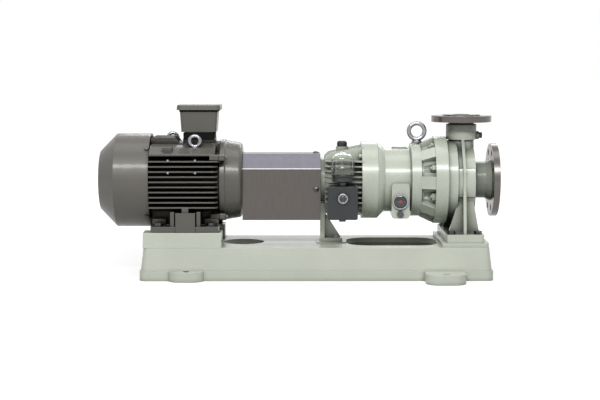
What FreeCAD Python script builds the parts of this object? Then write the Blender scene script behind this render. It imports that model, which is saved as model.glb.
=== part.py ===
import FreeCAD, Part
import math
import os
import re
import Sketcher

# Magnetic drive pump on a cast baseplate, driven by a foot-mounted motor through a jaw coupling.
# +X runs along the shaft towards the suction flange, +Z is up, and the origin is the centre of
# the baseplate's underside. Pieces on the shaft line are drawn about the shaft and raised to it.

Vector = FreeCAD.Vector
doc = FreeCAD.newDocument("MagneticDrivePump")
sizes = doc.addObject("Spreadsheet::Sheet", "Sizes")

SIZES = {
    # Clearances
    "running_gap": 0.5,
    "running_fit": 0.05,
    "seat_clearance": 0.3,
    "bolt_clearance": 0.3,
    "bolt_head": 5.5,
    "head_ratio": 1.83,
    # Baseplate
    "shaft_height": 260,
    "base_length": 950,
    "base_width": 276,
    "base_flare": 8,
    "base_corner": 20,
    "rim_step": 3,
    "rim_depth": 26,
    "deck_height": 88,
    "deck_thickness": 14,
    "base_wall": 14,
    "rib_thickness": 14,
    "motor_height": 132,
    "rail_width": 62,
    "rail_margin_rear": 41,
    "rail_margin_front": 29,
    "pump_height": 160,
    "pump_pad_half": 63,
    "deck_opening_length": 250,
    "deck_opening_width": 176,
    "deck_opening_corner": 60,
    "grout_hole_place": 200,
    "grout_hole_radius": 57,
    "rear_lobe_place": 349,
    "rear_lobe_width": 98,
    "rear_lobe_reach": 176,
    "front_lobe_place": 342,
    "front_lobe_width": 107,
    "front_lobe_reach": 228,
    "anchor_edge": 25,
    "anchor_hole_radius": 9,
    # Stations along the shaft, from the suction face back
    "suction_face": 500,
    "suction_reach": 100,
    "volute_back": 17,
    "casing_flange": 26,
    "lantern_flange": 35,
    "bell_length": 37,
    "eye_ring_width": 26,
    "eye_ring_gap": 4,
    "barrel_length": 73,
    "joint_circle": 97,
    "cone_length": 14,
    "lantern_rear_flange": 24,
    "bracket_flange": 20,
    "bracket_length": 100,
    "bearing_cover_width": 12,
    "guard_plate": 3,
    "pump_length": 600,
    "coupling_gap": 15,
    # Motor
    "motor_shaft_length": 80,
    "shield_hub_step": 6,
    "shield_depth": 61,
    "frame_length": 189,
    "fan_cover_length": 94,
    "fan_cover_cone": 45,
    "foot_hole_setback": 89,
    "foot_hole_spacing": 140,
    "foot_bolt_half": 108,
    "motor_foot_half": 131,
    "motor_foot_height": 16,
    "motor_foot_rear_margin": 18,
    "motor_foot_front_margin": 21.5,
    "foot_block_length": 84,
    "foot_block_half": 122,
    "frame_bore": 102,
    "frame_wall": 10,
    "fin_reach": 129,
    "fin_thickness": 3,
    "fin_spacing": 15.5,
    "fin_count": 10,
    "fin_boss_radius": 5,
    "fin_boss_spacing": 72,
    "frame_lug_radius": 14,
    "frame_lug_place": 116,
    "rotor_radius": 66,
    "stator_length": 120,
    "winding_length": 24,
    "motor_shaft_radius": 19,
    "motor_bearing_radius": 40,
    "motor_journal_radius": 20,
    "motor_bearing_width": 18,
    "shield_radius": 122,
    "shield_wall": 8,
    "shield_shoulder": 92,
    "shield_nose": 52,
    "fan_cover_radius": 128,
    "fan_cover_sheet": 2.5,
    "fan_cover_end": 82,
    "fan_shield_width": 12,
    "fan_radius": 104,
    "fan_hub_radius": 24,
    "fan_width": 34,
    "fan_shaft_radius": 14,
    "box_place": 319,
    "box_foot_length": 90,
    "box_neck_length": 74,
    "box_neck_half": 42,
    "box_seat": 116,
    "box_floor": 134,
    "box_top": 194,
    "box_length": 104,
    "box_width": 104,
    "box_draft": 4,
    "box_wall": 4,
    "lid_height": 13,
    "lid_overhang": 8,
    "lid_corner": 12,
    "eyebolt_seat": 88,
    "eyebolt_half": 84,
    "eyebolt_ring": 14,
    "eyebolt_wire": 5,
    "eyebolt_rear_place": 400,
    "eyebolt_front_place": 306,
    # Coupling
    "hub_radius": 52,
    "hub_waist": 33,
    "hub_length": 50,
    "jaw_length": 18,
    "jaw_inner": 27,
    "leg_half": 7,
    "spider_bore_gap": 1.5,
    "pump_shaft_end_radius": 16,
    "key_width": 10,
    "key_depth": 5,
    # Coupling guard
    "guard_half": 75,
    "guard_top": 74,
    "guard_bend": 35,
    "guard_bottom": 104,
    "guard_sheet": 2,
    "guard_tab": 18,
    "guard_shaft_hole": 34,
    "guard_screw_radius": 4,
    # Bearing bracket
    "bracket_core": 72,
    "bracket_neck": 63,
    "bracket_fin_reach": 94,
    "bracket_fin_start": 76,
    "bracket_fin_thickness": 4,
    "bracket_fin_spacing": 14,
    "bracket_fin_count": 9,
    "flange_ring_radius": 106,
    "bearing_cover_radius": 61,
    "cover_bolt_place": 50,
    "seal_radius": 30,
    "seal_width": 8,
    "drive_bearing_radius": 40,
    "drive_journal_radius": 20,
    "drive_bearing_width": 18,
    "drive_bearing_rear": 6,
    "drive_bearing_front": 8,
    "sump_radius": 56,
    "support_half": 28,
    "support_plate": 12,
    "support_foot_length": 60,
    "support_foot_height": 10,
    "support_pad_rise": 3,
    # Oil pieces
    "oiler_seat": 92,
    "oiler_front": 146,
    "oiler_start": 6,
    "oiler_length": 80,
    "oiler_top": 8,
    "oiler_bottom": 96,
    "oiler_neck_radius": 21,
    "collar_radius": 29,
    "collar_height": 12,
    "bottle_radius": 29.5,
    "bottle_height": 72,
    "sight_plug_radius": 13.5,
    "breather_radius": 14,
    "breather_seat": 92,
    # Lantern
    "barrel_radius": 88,
    "barrel_wall": 6,
    "cone_small": 82,
    "eye_ring_radius": 100,
    "lantern_flange_radius": 120,
    "lantern_register": 90,
    "lifting_eye_radius": 28,
    "lifting_eye_hole": 15,
    "lifting_eye_thickness": 12,
    "lifting_eye_centre": 134,
    "window_place": 45,
    "window_pad_start": 22,
    "window_pad_length": 48,
    "window_pad_front": 95,
    "window_pad_top": 3,
    "window_pad_bottom": 98,
    "window_height": 52,
    "window_radius": 17.5,
    "window_ring": 21,
    # Magnetic coupling
    "magnet_length": 76,
    "outer_magnet_inner": 60,
    "outer_magnet_thickness": 6,
    "carrier_wall": 7,
    "carrier_web": 12,
    "magnet_rows": 12,
    "can_inner": 55,
    "can_wall": 1.5,
    "can_flange": 6,
    "inner_rotor_radius": 53,
    "inner_magnet_thickness": 6,
    "pump_shaft_radius": 15,
    "sleeve_radius": 19,
    "bush_radius": 26,
    "bush_length": 20,
    # Wet end
    "casing_flange_radius": 109,
    "cover_flange": 8,
    "cover_plug_radius": 84,
    "volute_width": 36,
    "volute_top": 92,
    "volute_rear": 98,
    "volute_bottom": 103,
    "volute_front": 108,
    "volute_wall": 9,
    "impeller_radius": 80,
    "impeller_width": 26,
    "shroud_thickness": 4,
    "blade_thickness": 4,
    "blade_count": 6,
    "eye_radius": 38,
    "impeller_hub_radius": 24,
    "wear_ring_width": 8,
    "neck_radius": 50,
    "suction_bore": 40,
    "suction_flange_radius": 100,
    "flange_thickness": 20,
    "raised_face": 3,
    "suction_face_radius": 69,
    "suction_bolt_circle": 160,
    "suction_bolts": 8,
    "discharge_height": 180,
    "discharge_neck": 35,
    "discharge_bore": 25,
    "discharge_flange_radius": 82.5,
    "discharge_face_radius": 51,
    "discharge_bolt_circle": 125,
    "discharge_bolts": 4,
    "flange_hole_radius": 9,
    "stud_circle": 200,
    "stud_count": 8,
    "stud_radius": 6,
    "pump_foot_half_length": 50,
    "pump_foot_half": 132,
    "pump_foot_height": 22,
    "pump_foot_bolt_spacing": 72,
    "pump_foot_bolt_half": 106,
    "leg_plate_half": 84,
    "leg_plate_thickness": 12,
    "casing_rib": 8,
    "plug_radius": 9,
    # Fasteners
    "foot_bolt_radius": 6,
    "cover_bolt_radius": 4,
}


def fill_sheet():
    """Write each driving dimension beside its name and give its cell that name."""
    for row, (name, number) in enumerate(SIZES.items(), start=1):
        sizes.set(f"A{row}", name.replace("_", " "))
        sizes.set(f"B{row}", str(number))
        sizes.setAlias(f"B{row}", name)
    doc.recompute()


def bound(text):
    """Turn dimension names in an expression into references to the sheet."""
    return re.sub(r"[a-z]\w*",
                  lambda word: f"Sizes.{word.group()}" if word.group() in SIZES else word.group(),
                  str(text))


def value(text):
    """The present value of an expression, in millimetres or degrees."""
    result = sizes.evalExpression(bound(text))
    return float(getattr(result, "Value", result))


# Stations along the shaft, each worked out from its neighbour.
DISCHARGE_X = "(suction_face - suction_reach)"
VOLUTE_REAR = f"({DISCHARGE_X} - volute_back)"
CASING_JOINT = f"({VOLUTE_REAR} - casing_flange)"
MAIN_FLANGE_REAR = f"({CASING_JOINT} - lantern_flange)"
EYE_RING_FRONT = f"({MAIN_FLANGE_REAR} - bell_length)"
EYE_RING_REAR = f"({EYE_RING_FRONT} - eye_ring_width)"
BARREL_FRONT = f"({EYE_RING_REAR} - eye_ring_gap)"
BARREL_REAR = f"({BARREL_FRONT} - barrel_length)"
CONE_REAR = f"({BARREL_REAR} - cone_length)"
LANTERN_JOINT = f"({CONE_REAR} - lantern_rear_flange)"
BRACKET_FLANGE_REAR = f"({LANTERN_JOINT} - bracket_flange)"
BRACKET_REAR = f"({BRACKET_FLANGE_REAR} - bracket_length)"
COVER_REAR = f"({BRACKET_REAR} - bearing_cover_width)"
GUARD_FRONT = f"({COVER_REAR} - guard_plate)"
PUMP_SHAFT_END = "(suction_face - pump_length)"
MOTOR_SHAFT_END = f"({PUMP_SHAFT_END} - coupling_gap)"
COUPLING_MIDDLE = f"({PUMP_SHAFT_END} - coupling_gap / 2)"
MOTOR_SHOULDER = f"({MOTOR_SHAFT_END} - motor_shaft_length)"
SHIELD_FACE = f"({MOTOR_SHOULDER} - shield_hub_step)"
SHIELD_REAR = f"({SHIELD_FACE} - shield_depth)"
FRAME_REAR = f"({SHIELD_REAR} - frame_length)"
FAN_COVER_BEND = f"({FRAME_REAR} - fan_cover_length)"
FAN_COVER_REAR = f"({FAN_COVER_BEND} - fan_cover_cone)"
FOOT_HOLE_FRONT = f"({MOTOR_SHOULDER} - foot_hole_setback)"
FOOT_HOLE_REAR = f"({FOOT_HOLE_FRONT} - foot_hole_spacing)"
FRAME_MIDDLE = f"(({SHIELD_REAR} + {FRAME_REAR}) / 2)"
MAGNET_REAR = f"({BARREL_REAR} + 33)"
MAGNET_FRONT = f"({MAGNET_REAR} + magnet_length)"
MOTOR_PAD_TOP = "(shaft_height - motor_height)"
PUMP_PAD_TOP = "(shaft_height - pump_height)"
SUPPORT_PAD_TOP = "(deck_height + support_pad_rise)"
SUPPORT_BOLT_X = f"({COVER_REAR} + support_foot_length - 16)"
MOTOR_BEARING_FRONT = f"({SHIELD_FACE} - 12)"
MOTOR_BEARING_REAR = f"({FRAME_REAR} - fan_shield_width - 6)"
FAN_SCREW_X = f"({FRAME_REAR} - fan_shield_width / 2)"
DRIVE_REAR = f"({BRACKET_REAR} + drive_bearing_rear)"
DRIVE_REAR_END = f"({DRIVE_REAR} + drive_bearing_width)"
DRIVE_FRONT_END = f"({LANTERN_JOINT} - drive_bearing_front - 14)"
DRIVE_FRONT = f"({DRIVE_FRONT_END} - drive_bearing_width)"
BREATHER_X = f"({BRACKET_REAR} + 48)"
OILER_X = f"({BRACKET_REAR} + oiler_start + oiler_length / 2)"
OILER_Y = "(-oiler_front + bottle_radius)"
COVER_FRONT = f"({VOLUTE_REAR} - 1)"
BUSH_REAR = f"({MAGNET_FRONT} + 12)"
BUSH_FRONT = f"({COVER_FRONT} - bush_length)"
IMPELLER_REAR = f"({VOLUTE_REAR} + 3)"
WEAR_OUTER = "(eye_radius + 12)"

nodes = []


def new_body(label, on_shaft=True):
    """An empty body with its own label, raised to the shaft line where the piece belongs to it."""
    body = doc.addObject("PartDesign::Body", label)
    body.Label = label
    if on_shaft:
        body.setExpression("Placement.Base.z", bound("shaft_height"))
    nodes.append(body)
    return body


def origin_part(body, role):
    """A plane or an axis of the body's own origin."""
    return next(item for item in body.Origin.OriginFeatures if item.Role == role)


def new_sketch(body, plane, offset=0):
    """A sketch on an origin plane, moved along the plane's normal by an expression."""
    sketch = body.newObject("Sketcher::SketchObject", "Profile")
    sketch.AttachmentSupport = [(origin_part(body, plane), "")]
    sketch.MapMode = "FlatFace"
    if str(offset) != "0":
        sketch.setExpression("AttachmentOffset.Base.z", bound(offset))
    return sketch


def constrain(sketch, kind, parts, size):
    """Add one constraint and bind it to its expression."""
    index = sketch.addConstraint(Sketcher.Constraint(kind, *parts, value(size)))
    sketch.setExpression(f"Constraints[{index}]", bound(size))


def arc_between(start, end, radius):
    """The short arc between two points, turning left for a positive radius."""
    chord = end - start
    half = chord.Length / 2
    rise = math.sqrt(max(radius * radius - half * half, 0))
    left = Vector(-chord.y, chord.x, 0).normalize()
    side = 1 if radius > 0 else -1
    centre = (start + end) * 0.5 + left * (rise * side)
    first, last = (start, end) if radius > 0 else (end, start)
    first_angle = math.atan2(first.y - centre.y, first.x - centre.x)
    last_angle = math.atan2(last.y - centre.y, last.x - centre.x)
    return Part.ArcOfCircle(Part.Circle(centre, Vector(0, 0, 1), abs(radius)), first_angle, last_angle)


def outline(body, plane, corners, offset=0, sketch=None):
    """A closed outline through corners (x, y); a third entry makes the next run an arc of that radius."""
    sketch = sketch or new_sketch(body, plane, offset)
    base = sketch.GeometryCount
    points = [Vector(value(corner[0]), value(corner[1]), 0) for corner in corners]
    count = len(corners)
    ends = []
    for index, corner in enumerate(corners):
        start = points[index]
        end = points[(index + 1) % count]
        radius = value(corner[2]) if len(corner) == 3 else 0
        if radius:
            sketch.addGeometry(arc_between(start, end, radius))
        else:
            sketch.addGeometry(Part.LineSegment(start, end))
        ends.append((2, 1) if radius < 0 else (1, 2))
    for index in range(count):
        after = (index + 1) % count
        sketch.addConstraint(Sketcher.Constraint("Coincident", base + index, ends[index][1],
                                                 base + after, ends[after][0]))
    for index, corner in enumerate(corners):
        constrain(sketch, "DistanceX", (-1, 1, base + index, ends[index][0]), corner[0])
        constrain(sketch, "DistanceY", (-1, 1, base + index, ends[index][0]), corner[1])
        if len(corner) == 3:
            constrain(sketch, "Radius", (base + index,), f"abs({corner[2]})")
    return sketch


def circles(body, plane, rounds, offset=0, sketch=None):
    """Circles (x, y, radius) in one sketch."""
    sketch = sketch or new_sketch(body, plane, offset)
    for x, y, radius in rounds:
        index = sketch.addGeometry(Part.Circle(Vector(value(x), value(y), 0), Vector(0, 0, 1),
                                               value(radius)))
        constrain(sketch, "DistanceX", (-1, 1, index, 3), x)
        constrain(sketch, "DistanceY", (-1, 1, index, 3), y)
        constrain(sketch, "Radius", (index,), radius)
    return sketch


def box_corners(left, right, low, high, radius=None):
    """The corners of a rectangle, with rounded corners where a radius is given."""
    if radius is None:
        return [(left, low), (right, low), (right, high), (left, high)]
    return [(f"{left} + {radius}", low), (f"{right} - {radius}", low, radius),
            (right, f"{low} + {radius}"), (right, f"{high} - {radius}", radius),
            (f"{right} - {radius}", high), (f"{left} + {radius}", high, radius),
            (left, f"{high} - {radius}"), (left, f"{low} + {radius}", radius)]


def hexagon(x, y, radius):
    """The corners of a hexagon of the given corner radius."""
    return [(f"{x} + {radius} * cos({60 * side})",
             f"{y} + {radius} * sin({60 * side})") for side in range(6)]


def pad(body, sketch, length, back=False, both=False, taper=None):
    """Raise a sketch into a solid; back goes against the sketch's normal and both goes each way."""
    feature = body.newObject("PartDesign::Pad", "Pad")
    feature.Profile = sketch
    feature.setExpression("Length", bound(length))
    feature.Reversed = back
    if both:
        feature.SideType = "Symmetric"
    if taper is not None:
        feature.setExpression("TaperAngle", bound(taper))
    return feature


def pocket(body, sketch, length=None, back=False, both=False):
    """Cut a sketch along its normal, or against it with back; without a length it cuts right through."""
    feature = body.newObject("PartDesign::Pocket", "Pocket")
    feature.Profile = sketch
    if length is None:
        feature.Type = "ThroughAll"
    else:
        feature.setExpression("Length", bound(length))
    feature.Reversed = not back
    if both:
        feature.SideType = "Symmetric"
    return feature


def revolve(body, corners, plane="XZ_Plane", axis="H_Axis", cut=False):
    """Turn a profile about the sketch's own axis, as a solid or as a cut."""
    sketch = outline(body, plane, corners)
    feature = body.newObject("PartDesign::Groove" if cut else "PartDesign::Revolution", "Turned")
    feature.Profile = sketch
    feature.ReferenceAxis = (sketch, [axis])
    feature.Angle = 360
    return feature


def around(body, features, count, axis="X_Axis"):
    """Repeat features evenly around an axis of the body."""
    pattern = body.newObject("PartDesign::PolarPattern", "Ring")
    pattern.Originals = features
    pattern.Axis = (origin_part(body, axis), [""])
    pattern.Angle = 360
    pattern.setExpression("Occurrences", bound(count))
    body.Tip = pattern
    return pattern


def grid(body, features, axis, length, count=2, second_axis=None, second_length=None):
    """Repeat features along one axis over a length, and along a second one where it is given."""
    pattern = body.newObject("PartDesign::LinearPattern", "Row")
    pattern.Originals = features
    pattern.Direction = (origin_part(body, axis), [""])
    pattern.setExpression("Length", bound(length))
    pattern.setExpression("Occurrences", bound(count))
    if second_axis:
        pattern.Direction2 = (origin_part(body, second_axis), [""])
        pattern.setExpression("Length2", bound(second_length))
        pattern.Occurrences2 = 2
    body.Tip = pattern
    return pattern


def mirror(body, features, plane):
    """Repeat features on the other side of an origin plane."""
    twin = body.newObject("PartDesign::Mirrored", "Twin")
    twin.Originals = features
    twin.MirrorPlane = (origin_part(body, plane), [""])
    body.Tip = twin
    return twin


def ring_profile(rear, front, inner, outer):
    """The section of a plain ring or tube."""
    return [(rear, inner), (front, inner), (front, outer), (rear, outer)]


def turned_piece(label, corners):
    """A whole piece turned about the shaft line."""
    body = new_body(label)
    revolve(body, corners)
    return body


def baseplate():
    """Hollow casting: vertical rim, drafted walls, deck, rails, pump pad and anchor lobes."""
    body = new_body("baseplate", on_shaft=False)
    end = "base_length / 2"
    skirt = "(base_width / 2 + base_flare)"
    rim = box_corners(f"-{end}", end, f"-({skirt} + rim_step)", f"{skirt} + rim_step", "base_corner")
    pad(body, outline(body, "XY_Plane", rim), "rim_depth")
    wall = box_corners(f"-({end} - rim_step)", f"{end} - rim_step", f"-{skirt}", skirt, "base_corner")
    pad(body, outline(body, "XY_Plane", wall, "rim_depth"), "deck_height - rim_depth",
        taper="-atan(base_flare / (deck_height - rim_depth))")
    for side, name in (("-", "rear"), ("", "front")):
        place = f"{side}{name}_lobe_place"
        half = f"{name}_lobe_width / 2"
        reach = f"{name}_lobe_reach"
        lobe = box_corners(f"{place} - {half}", f"{place} + {half}", f"-{reach}", reach, "36")
        pad(body, outline(body, "XY_Plane", lobe), "rim_depth")
    rail_rear = f"{FOOT_HOLE_REAR} - rail_margin_rear"
    rail_front = f"{FOOT_HOLE_FRONT} + rail_margin_front"
    rail = box_corners(rail_rear, rail_front, "-motor_foot_half - 1", "-motor_foot_half - 1 + rail_width")
    rail_pad = pad(body, outline(body, "XY_Plane", rail, "deck_height"), f"{MOTOR_PAD_TOP} - deck_height")
    mirror(body, [rail_pad], "XZ_Plane")
    seat = box_corners(f"{DISCHARGE_X} - pump_pad_half", f"{DISCHARGE_X} + pump_pad_half",
                       "-pump_foot_half - 2", "pump_foot_half + 2", "8")
    pad(body, outline(body, "XY_Plane", seat, "deck_height"), f"{PUMP_PAD_TOP} - deck_height")
    support = box_corners(f"{COVER_REAR} - 10", f"{COVER_REAR} + support_foot_length + 12",
                          "-support_half - 12", "support_half + 12", "10")
    pad(body, outline(body, "XY_Plane", support, "deck_height"), "support_pad_rise")
    hollow_under_deck(body)
    opening_front = f"({DISCHARGE_X} - pump_pad_half - 2)"
    opening = box_corners(f"{opening_front} - deck_opening_length", opening_front,
                          "-deck_opening_width / 2", "deck_opening_width / 2", "deck_opening_corner")
    pocket(body, outline(body, "XY_Plane", opening, "deck_height + support_pad_rise"),
           "deck_height", back=True)
    grout = circles(body, "XY_Plane", [("-grout_hole_place", 0, "grout_hole_radius")], "deck_height")
    pocket(body, grout, "deck_height", back=True)
    base_holes(body)
    return body


def hollow_under_deck(body):
    """Three cells open below, parted by two cross ribs; the rib at the middle carries the origin."""
    end = "base_length / 2 - base_wall - base_flare"
    half = "(base_width / 2 - base_wall)"
    rear_rib = "(grout_hole_place + grout_hole_radius + rib_thickness / 2)"
    cells = [(f"-({end})", f"-{rear_rib} - rib_thickness / 2"),
             (f"-{rear_rib} + rib_thickness / 2", "-rib_thickness / 2"),
             ("rib_thickness / 2", end)]
    for left, right in cells:
        cell = box_corners(left, right, f"-{half}", half, "12")
        pocket(body, outline(body, "XY_Plane", cell), "deck_height - deck_thickness")


def base_holes(body):
    """Anchor holes through the lobes and tapped holes for every foot bolt."""
    for side, name in (("-", "rear"), ("", "front")):
        half = f"({name}_lobe_reach - anchor_edge)"
        anchors = [(f"{side}{name}_lobe_place", f"-{half}", "anchor_hole_radius"),
                   (f"{side}{name}_lobe_place", half, "anchor_hole_radius")]
        pocket(body, circles(body, "XY_Plane", anchors), "rim_depth")
    tapped = "foot_bolt_radius + seat_clearance"
    motor = [(x, y, tapped) for x in (FOOT_HOLE_REAR, FOOT_HOLE_FRONT) for y in ("-foot_bolt_half",
             "foot_bolt_half")]
    pocket(body, circles(body, "XY_Plane", motor, MOTOR_PAD_TOP), "30", back=True)
    pump = [(f"{DISCHARGE_X} {side} pump_foot_bolt_spacing / 2", y, tapped)
            for side in "-+" for y in ("-pump_foot_bolt_half", "pump_foot_bolt_half")]
    pocket(body, circles(body, "XY_Plane", pump, PUMP_PAD_TOP), "20", back=True)
    support = [(SUPPORT_BOLT_X, y, "cover_bolt_radius + seat_clearance")
               for y in ("-support_half / 2", "support_half / 2")]
    pocket(body, circles(body, "XY_Plane", support, SUPPORT_PAD_TOP), "14", back=True)


def vertical_bolts(body, first_spot, seat, shank, radius, spacing_x, spacing_y, head):
    """Hexagon bolts on a rectangle, their heads sitting at the seat height and shanks going down."""
    x, y = first_spot
    corner_radius = f"{radius} * 1.83"
    head_pad = pad(body, outline(body, "XY_Plane", hexagon(x, y, corner_radius), seat), head)
    shank_pad = pad(body, circles(body, "XY_Plane", [(x, y, radius)], seat), shank, back=True)
    if spacing_x is None:
        grid(body, [head_pad, shank_pad], "Y_Axis", spacing_y)
    else:
        grid(body, [head_pad, shank_pad], "X_Axis", spacing_x, 2, "Y_Axis", spacing_y)


def foot_bolts():
    """The bolts that hold the motor and the pump on the baseplate, four to each."""
    body = new_body("foot_bolts", on_shaft=False)
    vertical_bolts(body, (FOOT_HOLE_REAR, "-foot_bolt_half"), f"{MOTOR_PAD_TOP} + motor_foot_height",
                   "motor_foot_height + 24", "foot_bolt_radius", "foot_hole_spacing", "2 * foot_bolt_half",
                   "8")
    vertical_bolts(body, (f"({DISCHARGE_X} - pump_foot_bolt_spacing / 2)", "-pump_foot_bolt_half"),
                   f"{PUMP_PAD_TOP} + pump_foot_height", "pump_foot_height + 16", "foot_bolt_radius",
                   "pump_foot_bolt_spacing", "2 * pump_foot_bolt_half", "8")


def motor_frame():
    """Finned cast frame: plates across the whole frame, then the barrel, feet, lugs and the bore."""
    body = new_body("motor_frame")
    barrel = "(frame_bore + frame_wall)"
    fin_span = "(fin_spacing * (fin_count - 1))"
    half_fin = "fin_thickness / 2"
    fin_rear = f"{FRAME_REAR} + 6"
    fin_front = f"{SHIELD_REAR} - 6"
    side_fin = box_corners("-fin_reach", "fin_reach", f"-{fin_span} / 2 - {half_fin}",
                           f"-{fin_span} / 2 + {half_fin}")
    side = pad(body, outline(body, "YZ_Plane", side_fin, fin_rear), f"{fin_front} - ({fin_rear})")
    grid(body, [side], "Z_Axis", fin_span, "fin_count")
    foot_top = "(motor_height - motor_foot_height)"
    top_fin = box_corners(f"-{fin_span} / 2 - {half_fin}", f"-{fin_span} / 2 + {half_fin}", f"-{foot_top}",
                          "fin_reach")
    upright = pad(body, outline(body, "YZ_Plane", top_fin, fin_rear), f"{fin_front} - ({fin_rear})")
    grid(body, [upright], "Y_Axis", fin_span, "fin_count")
    revolve(body, ring_profile(FRAME_REAR, SHIELD_REAR, 20, barrel))
    feet = box_corners("-motor_foot_half", "motor_foot_half", "-motor_height", f"-{foot_top}")
    foot_rear = f"({FOOT_HOLE_REAR} - motor_foot_rear_margin)"
    foot_front = f"({FOOT_HOLE_FRONT} + motor_foot_front_margin)"
    pad(body, outline(body, "YZ_Plane", feet, foot_rear), f"{foot_front} - {foot_rear}")
    block = [("-foot_block_half", f"-{foot_top}"), ("foot_block_half", f"-{foot_top}"),
             ("foot_block_half", "-76"), ("-foot_block_half", "-76")]
    middle = f"({FRAME_MIDDLE} - foot_block_length / 2)"
    pad(body, outline(body, "YZ_Plane", block, middle), "foot_block_length")
    neck = box_corners("-box_place - box_foot_length / 2", "-box_place + box_foot_length / 2",
                       "-box_neck_half - 4", "box_neck_half + 4", "8")
    pocket(body, outline(body, "XY_Plane", neck, "box_seat"), "fin_reach")
    pad(body, outline(body, "XY_Plane", neck, "box_seat"), "20", back=True)
    eyes = [("-eyebolt_front_place", "-eyebolt_half", "13"), ("-eyebolt_rear_place", "eyebolt_half", "13")]
    pad(body, circles(body, "XY_Plane", eyes, "eyebolt_seat"), "30", back=True)
    frame_lugs(body)
    bosses = [(f"{FRAME_MIDDLE} {side} fin_boss_spacing / 2", height, "fin_boss_radius")
              for side in "-+" for height in ("3.5 * fin_spacing", "1.5 * fin_spacing")]
    for direction in (False, True):
        boss = circles(body, "XZ_Plane", bosses, "-fin_reach" if direction else "fin_reach")
        pad(body, boss, "18", back=not direction)
    revolve(body, ring_profile(f"{FRAME_REAR} - 1", f"{SHIELD_REAR} + 1", 0, "frame_bore"), cut=True)
    holes = [(x, y, "foot_bolt_radius + bolt_clearance")
             for x in (FOOT_HOLE_REAR, FOOT_HOLE_FRONT) for y in ("-foot_bolt_half", "foot_bolt_half")]
    pocket(body, circles(body, "XY_Plane", holes, "-motor_height"), "motor_foot_height")
    wells = [(x, y, "foot_bolt_radius * 2.6") for x, y, radius in holes]
    pocket(body, circles(body, "XY_Plane", wells, f"-{foot_top}"), "32")
    eye_holes = [(x, y, "4 + bolt_clearance") for x, y, radius in eyes]
    pocket(body, circles(body, "XY_Plane", eye_holes, "eyebolt_seat"), "16", back=True)
    return body


def frame_lugs(body):
    """Four corner lugs at each end of the frame, tapped for the shield bolts."""
    lug = "frame_lug_place / sqrt(2)"
    for start, length in ((FRAME_REAR, "24"), (f"({SHIELD_REAR} - 24)", "24")):
        ear = pad(body, circles(body, "YZ_Plane", [(lug, lug, "frame_lug_radius")], start), length)
        around(body, [ear], 4)
    for start, back in ((FRAME_REAR, False), (SHIELD_REAR, True)):
        tapped = circles(body, "YZ_Plane", [(lug, lug, "cover_bolt_radius + seat_clearance")], start)
        hole = pocket(body, tapped, "18", back=back)
        around(body, [hole], 4)


def ring_bolts(body, face, circle, radius, shank, count, forward=True, start_angle="45"):
    """Hexagon bolts on a circle about the shaft, their heads on a face and shanks going one way."""
    y = f"({circle} * cos({start_angle}))"
    z = f"({circle} * sin({start_angle}))"
    head_pad = pad(body, outline(body, "YZ_Plane", hexagon(y, z, f"{radius} * head_ratio"), face),
                   "bolt_head", back=forward)
    shank_pad = pad(body, circles(body, "YZ_Plane", [(y, z, radius)], face), shank, back=not forward)
    around(body, [head_pad, shank_pad], count)


def motor_electrics():
    """Stator core, its end windings and the rotor core."""
    middle = FRAME_MIDDLE
    rear = f"({middle} - stator_length / 2)"
    front = f"({middle} + stator_length / 2)"
    turned_piece("stator_core", ring_profile(rear, front, "rotor_radius + running_gap", "frame_bore"))
    windings = new_body("stator_windings")
    for start, stop in ((f"({rear} - winding_length)", rear), (front, f"({front} + winding_length)")):
        low = "(rotor_radius + 6)"
        high = "(frame_bore - 8)"
        revolve(windings, [(start, f"{low} + 6"), (f"{start} + 6", low), (f"{stop} - 6", low),
                           (stop, f"{low} + 6"),
                           (stop, f"{high} - 6"), (f"{stop} - 6", high), (f"{start} + 6", high),
                           (start, f"{high} - 6")])
    turned_piece("rotor_core", ring_profile(rear, front, "motor_journal_radius + 4", "rotor_radius"))


def motor_shaft():
    """Stepped shaft: fan seat, journals, rotor seat and the keyed extension."""
    rear_journal = f"({MOTOR_BEARING_REAR} + motor_bearing_width)"
    front_journal = f"({MOTOR_BEARING_FRONT} - motor_bearing_width)"
    body = new_body("motor_shaft")
    revolve(body, [(f"{FAN_COVER_BEND} + 2", 0), (MOTOR_SHAFT_END, 0),
                   (MOTOR_SHAFT_END, "motor_shaft_radius - 1.5"),
                   (f"{MOTOR_SHAFT_END} - 1.5", "motor_shaft_radius"),
                   (MOTOR_SHOULDER, "motor_shaft_radius"),
                   (MOTOR_SHOULDER, "motor_journal_radius"), (front_journal, "motor_journal_radius"),
                   (front_journal, "motor_journal_radius + 4"), (rear_journal, "motor_journal_radius + 4"),
                   (rear_journal, "motor_journal_radius"),
                   (f"{MOTOR_BEARING_REAR} - 1", "motor_journal_radius"),
                   (f"{MOTOR_BEARING_REAR} - 1", "fan_shaft_radius"),
                   (f"{FAN_COVER_BEND} + 2", "fan_shaft_radius")])
    keyway(body, MOTOR_SHAFT_END, "motor_shaft_radius")
    return body


def keyway(body, end, radius):
    """A keyway in the top of a shaft end, as long as the hub less its margin."""
    start, stop = sorted_key(end)
    slot = box_corners(start, stop, "-key_width / 2", "key_width / 2")
    pocket(body, outline(body, "XY_Plane", slot, f"{radius} - key_depth"), "key_depth + 1")


def sorted_key(end):
    """The key's rear and front stations beside a shaft end."""
    if end == MOTOR_SHAFT_END:
        return f"({end} - hub_length + 8)", f"({end} - 4)"
    return f"({end} + 4)", f"({end} + hub_length - 8)"


def key(label, end, radius):
    """A parallel key that fills its keyway and stands up into the hub."""
    body = new_body(label)
    start, stop = sorted_key(end)
    slot = box_corners(start, stop, "-key_width / 2", "key_width / 2")
    pad(body, outline(body, "XY_Plane", slot, f"{radius} - key_depth"), "key_depth + 3")
    return body


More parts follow.
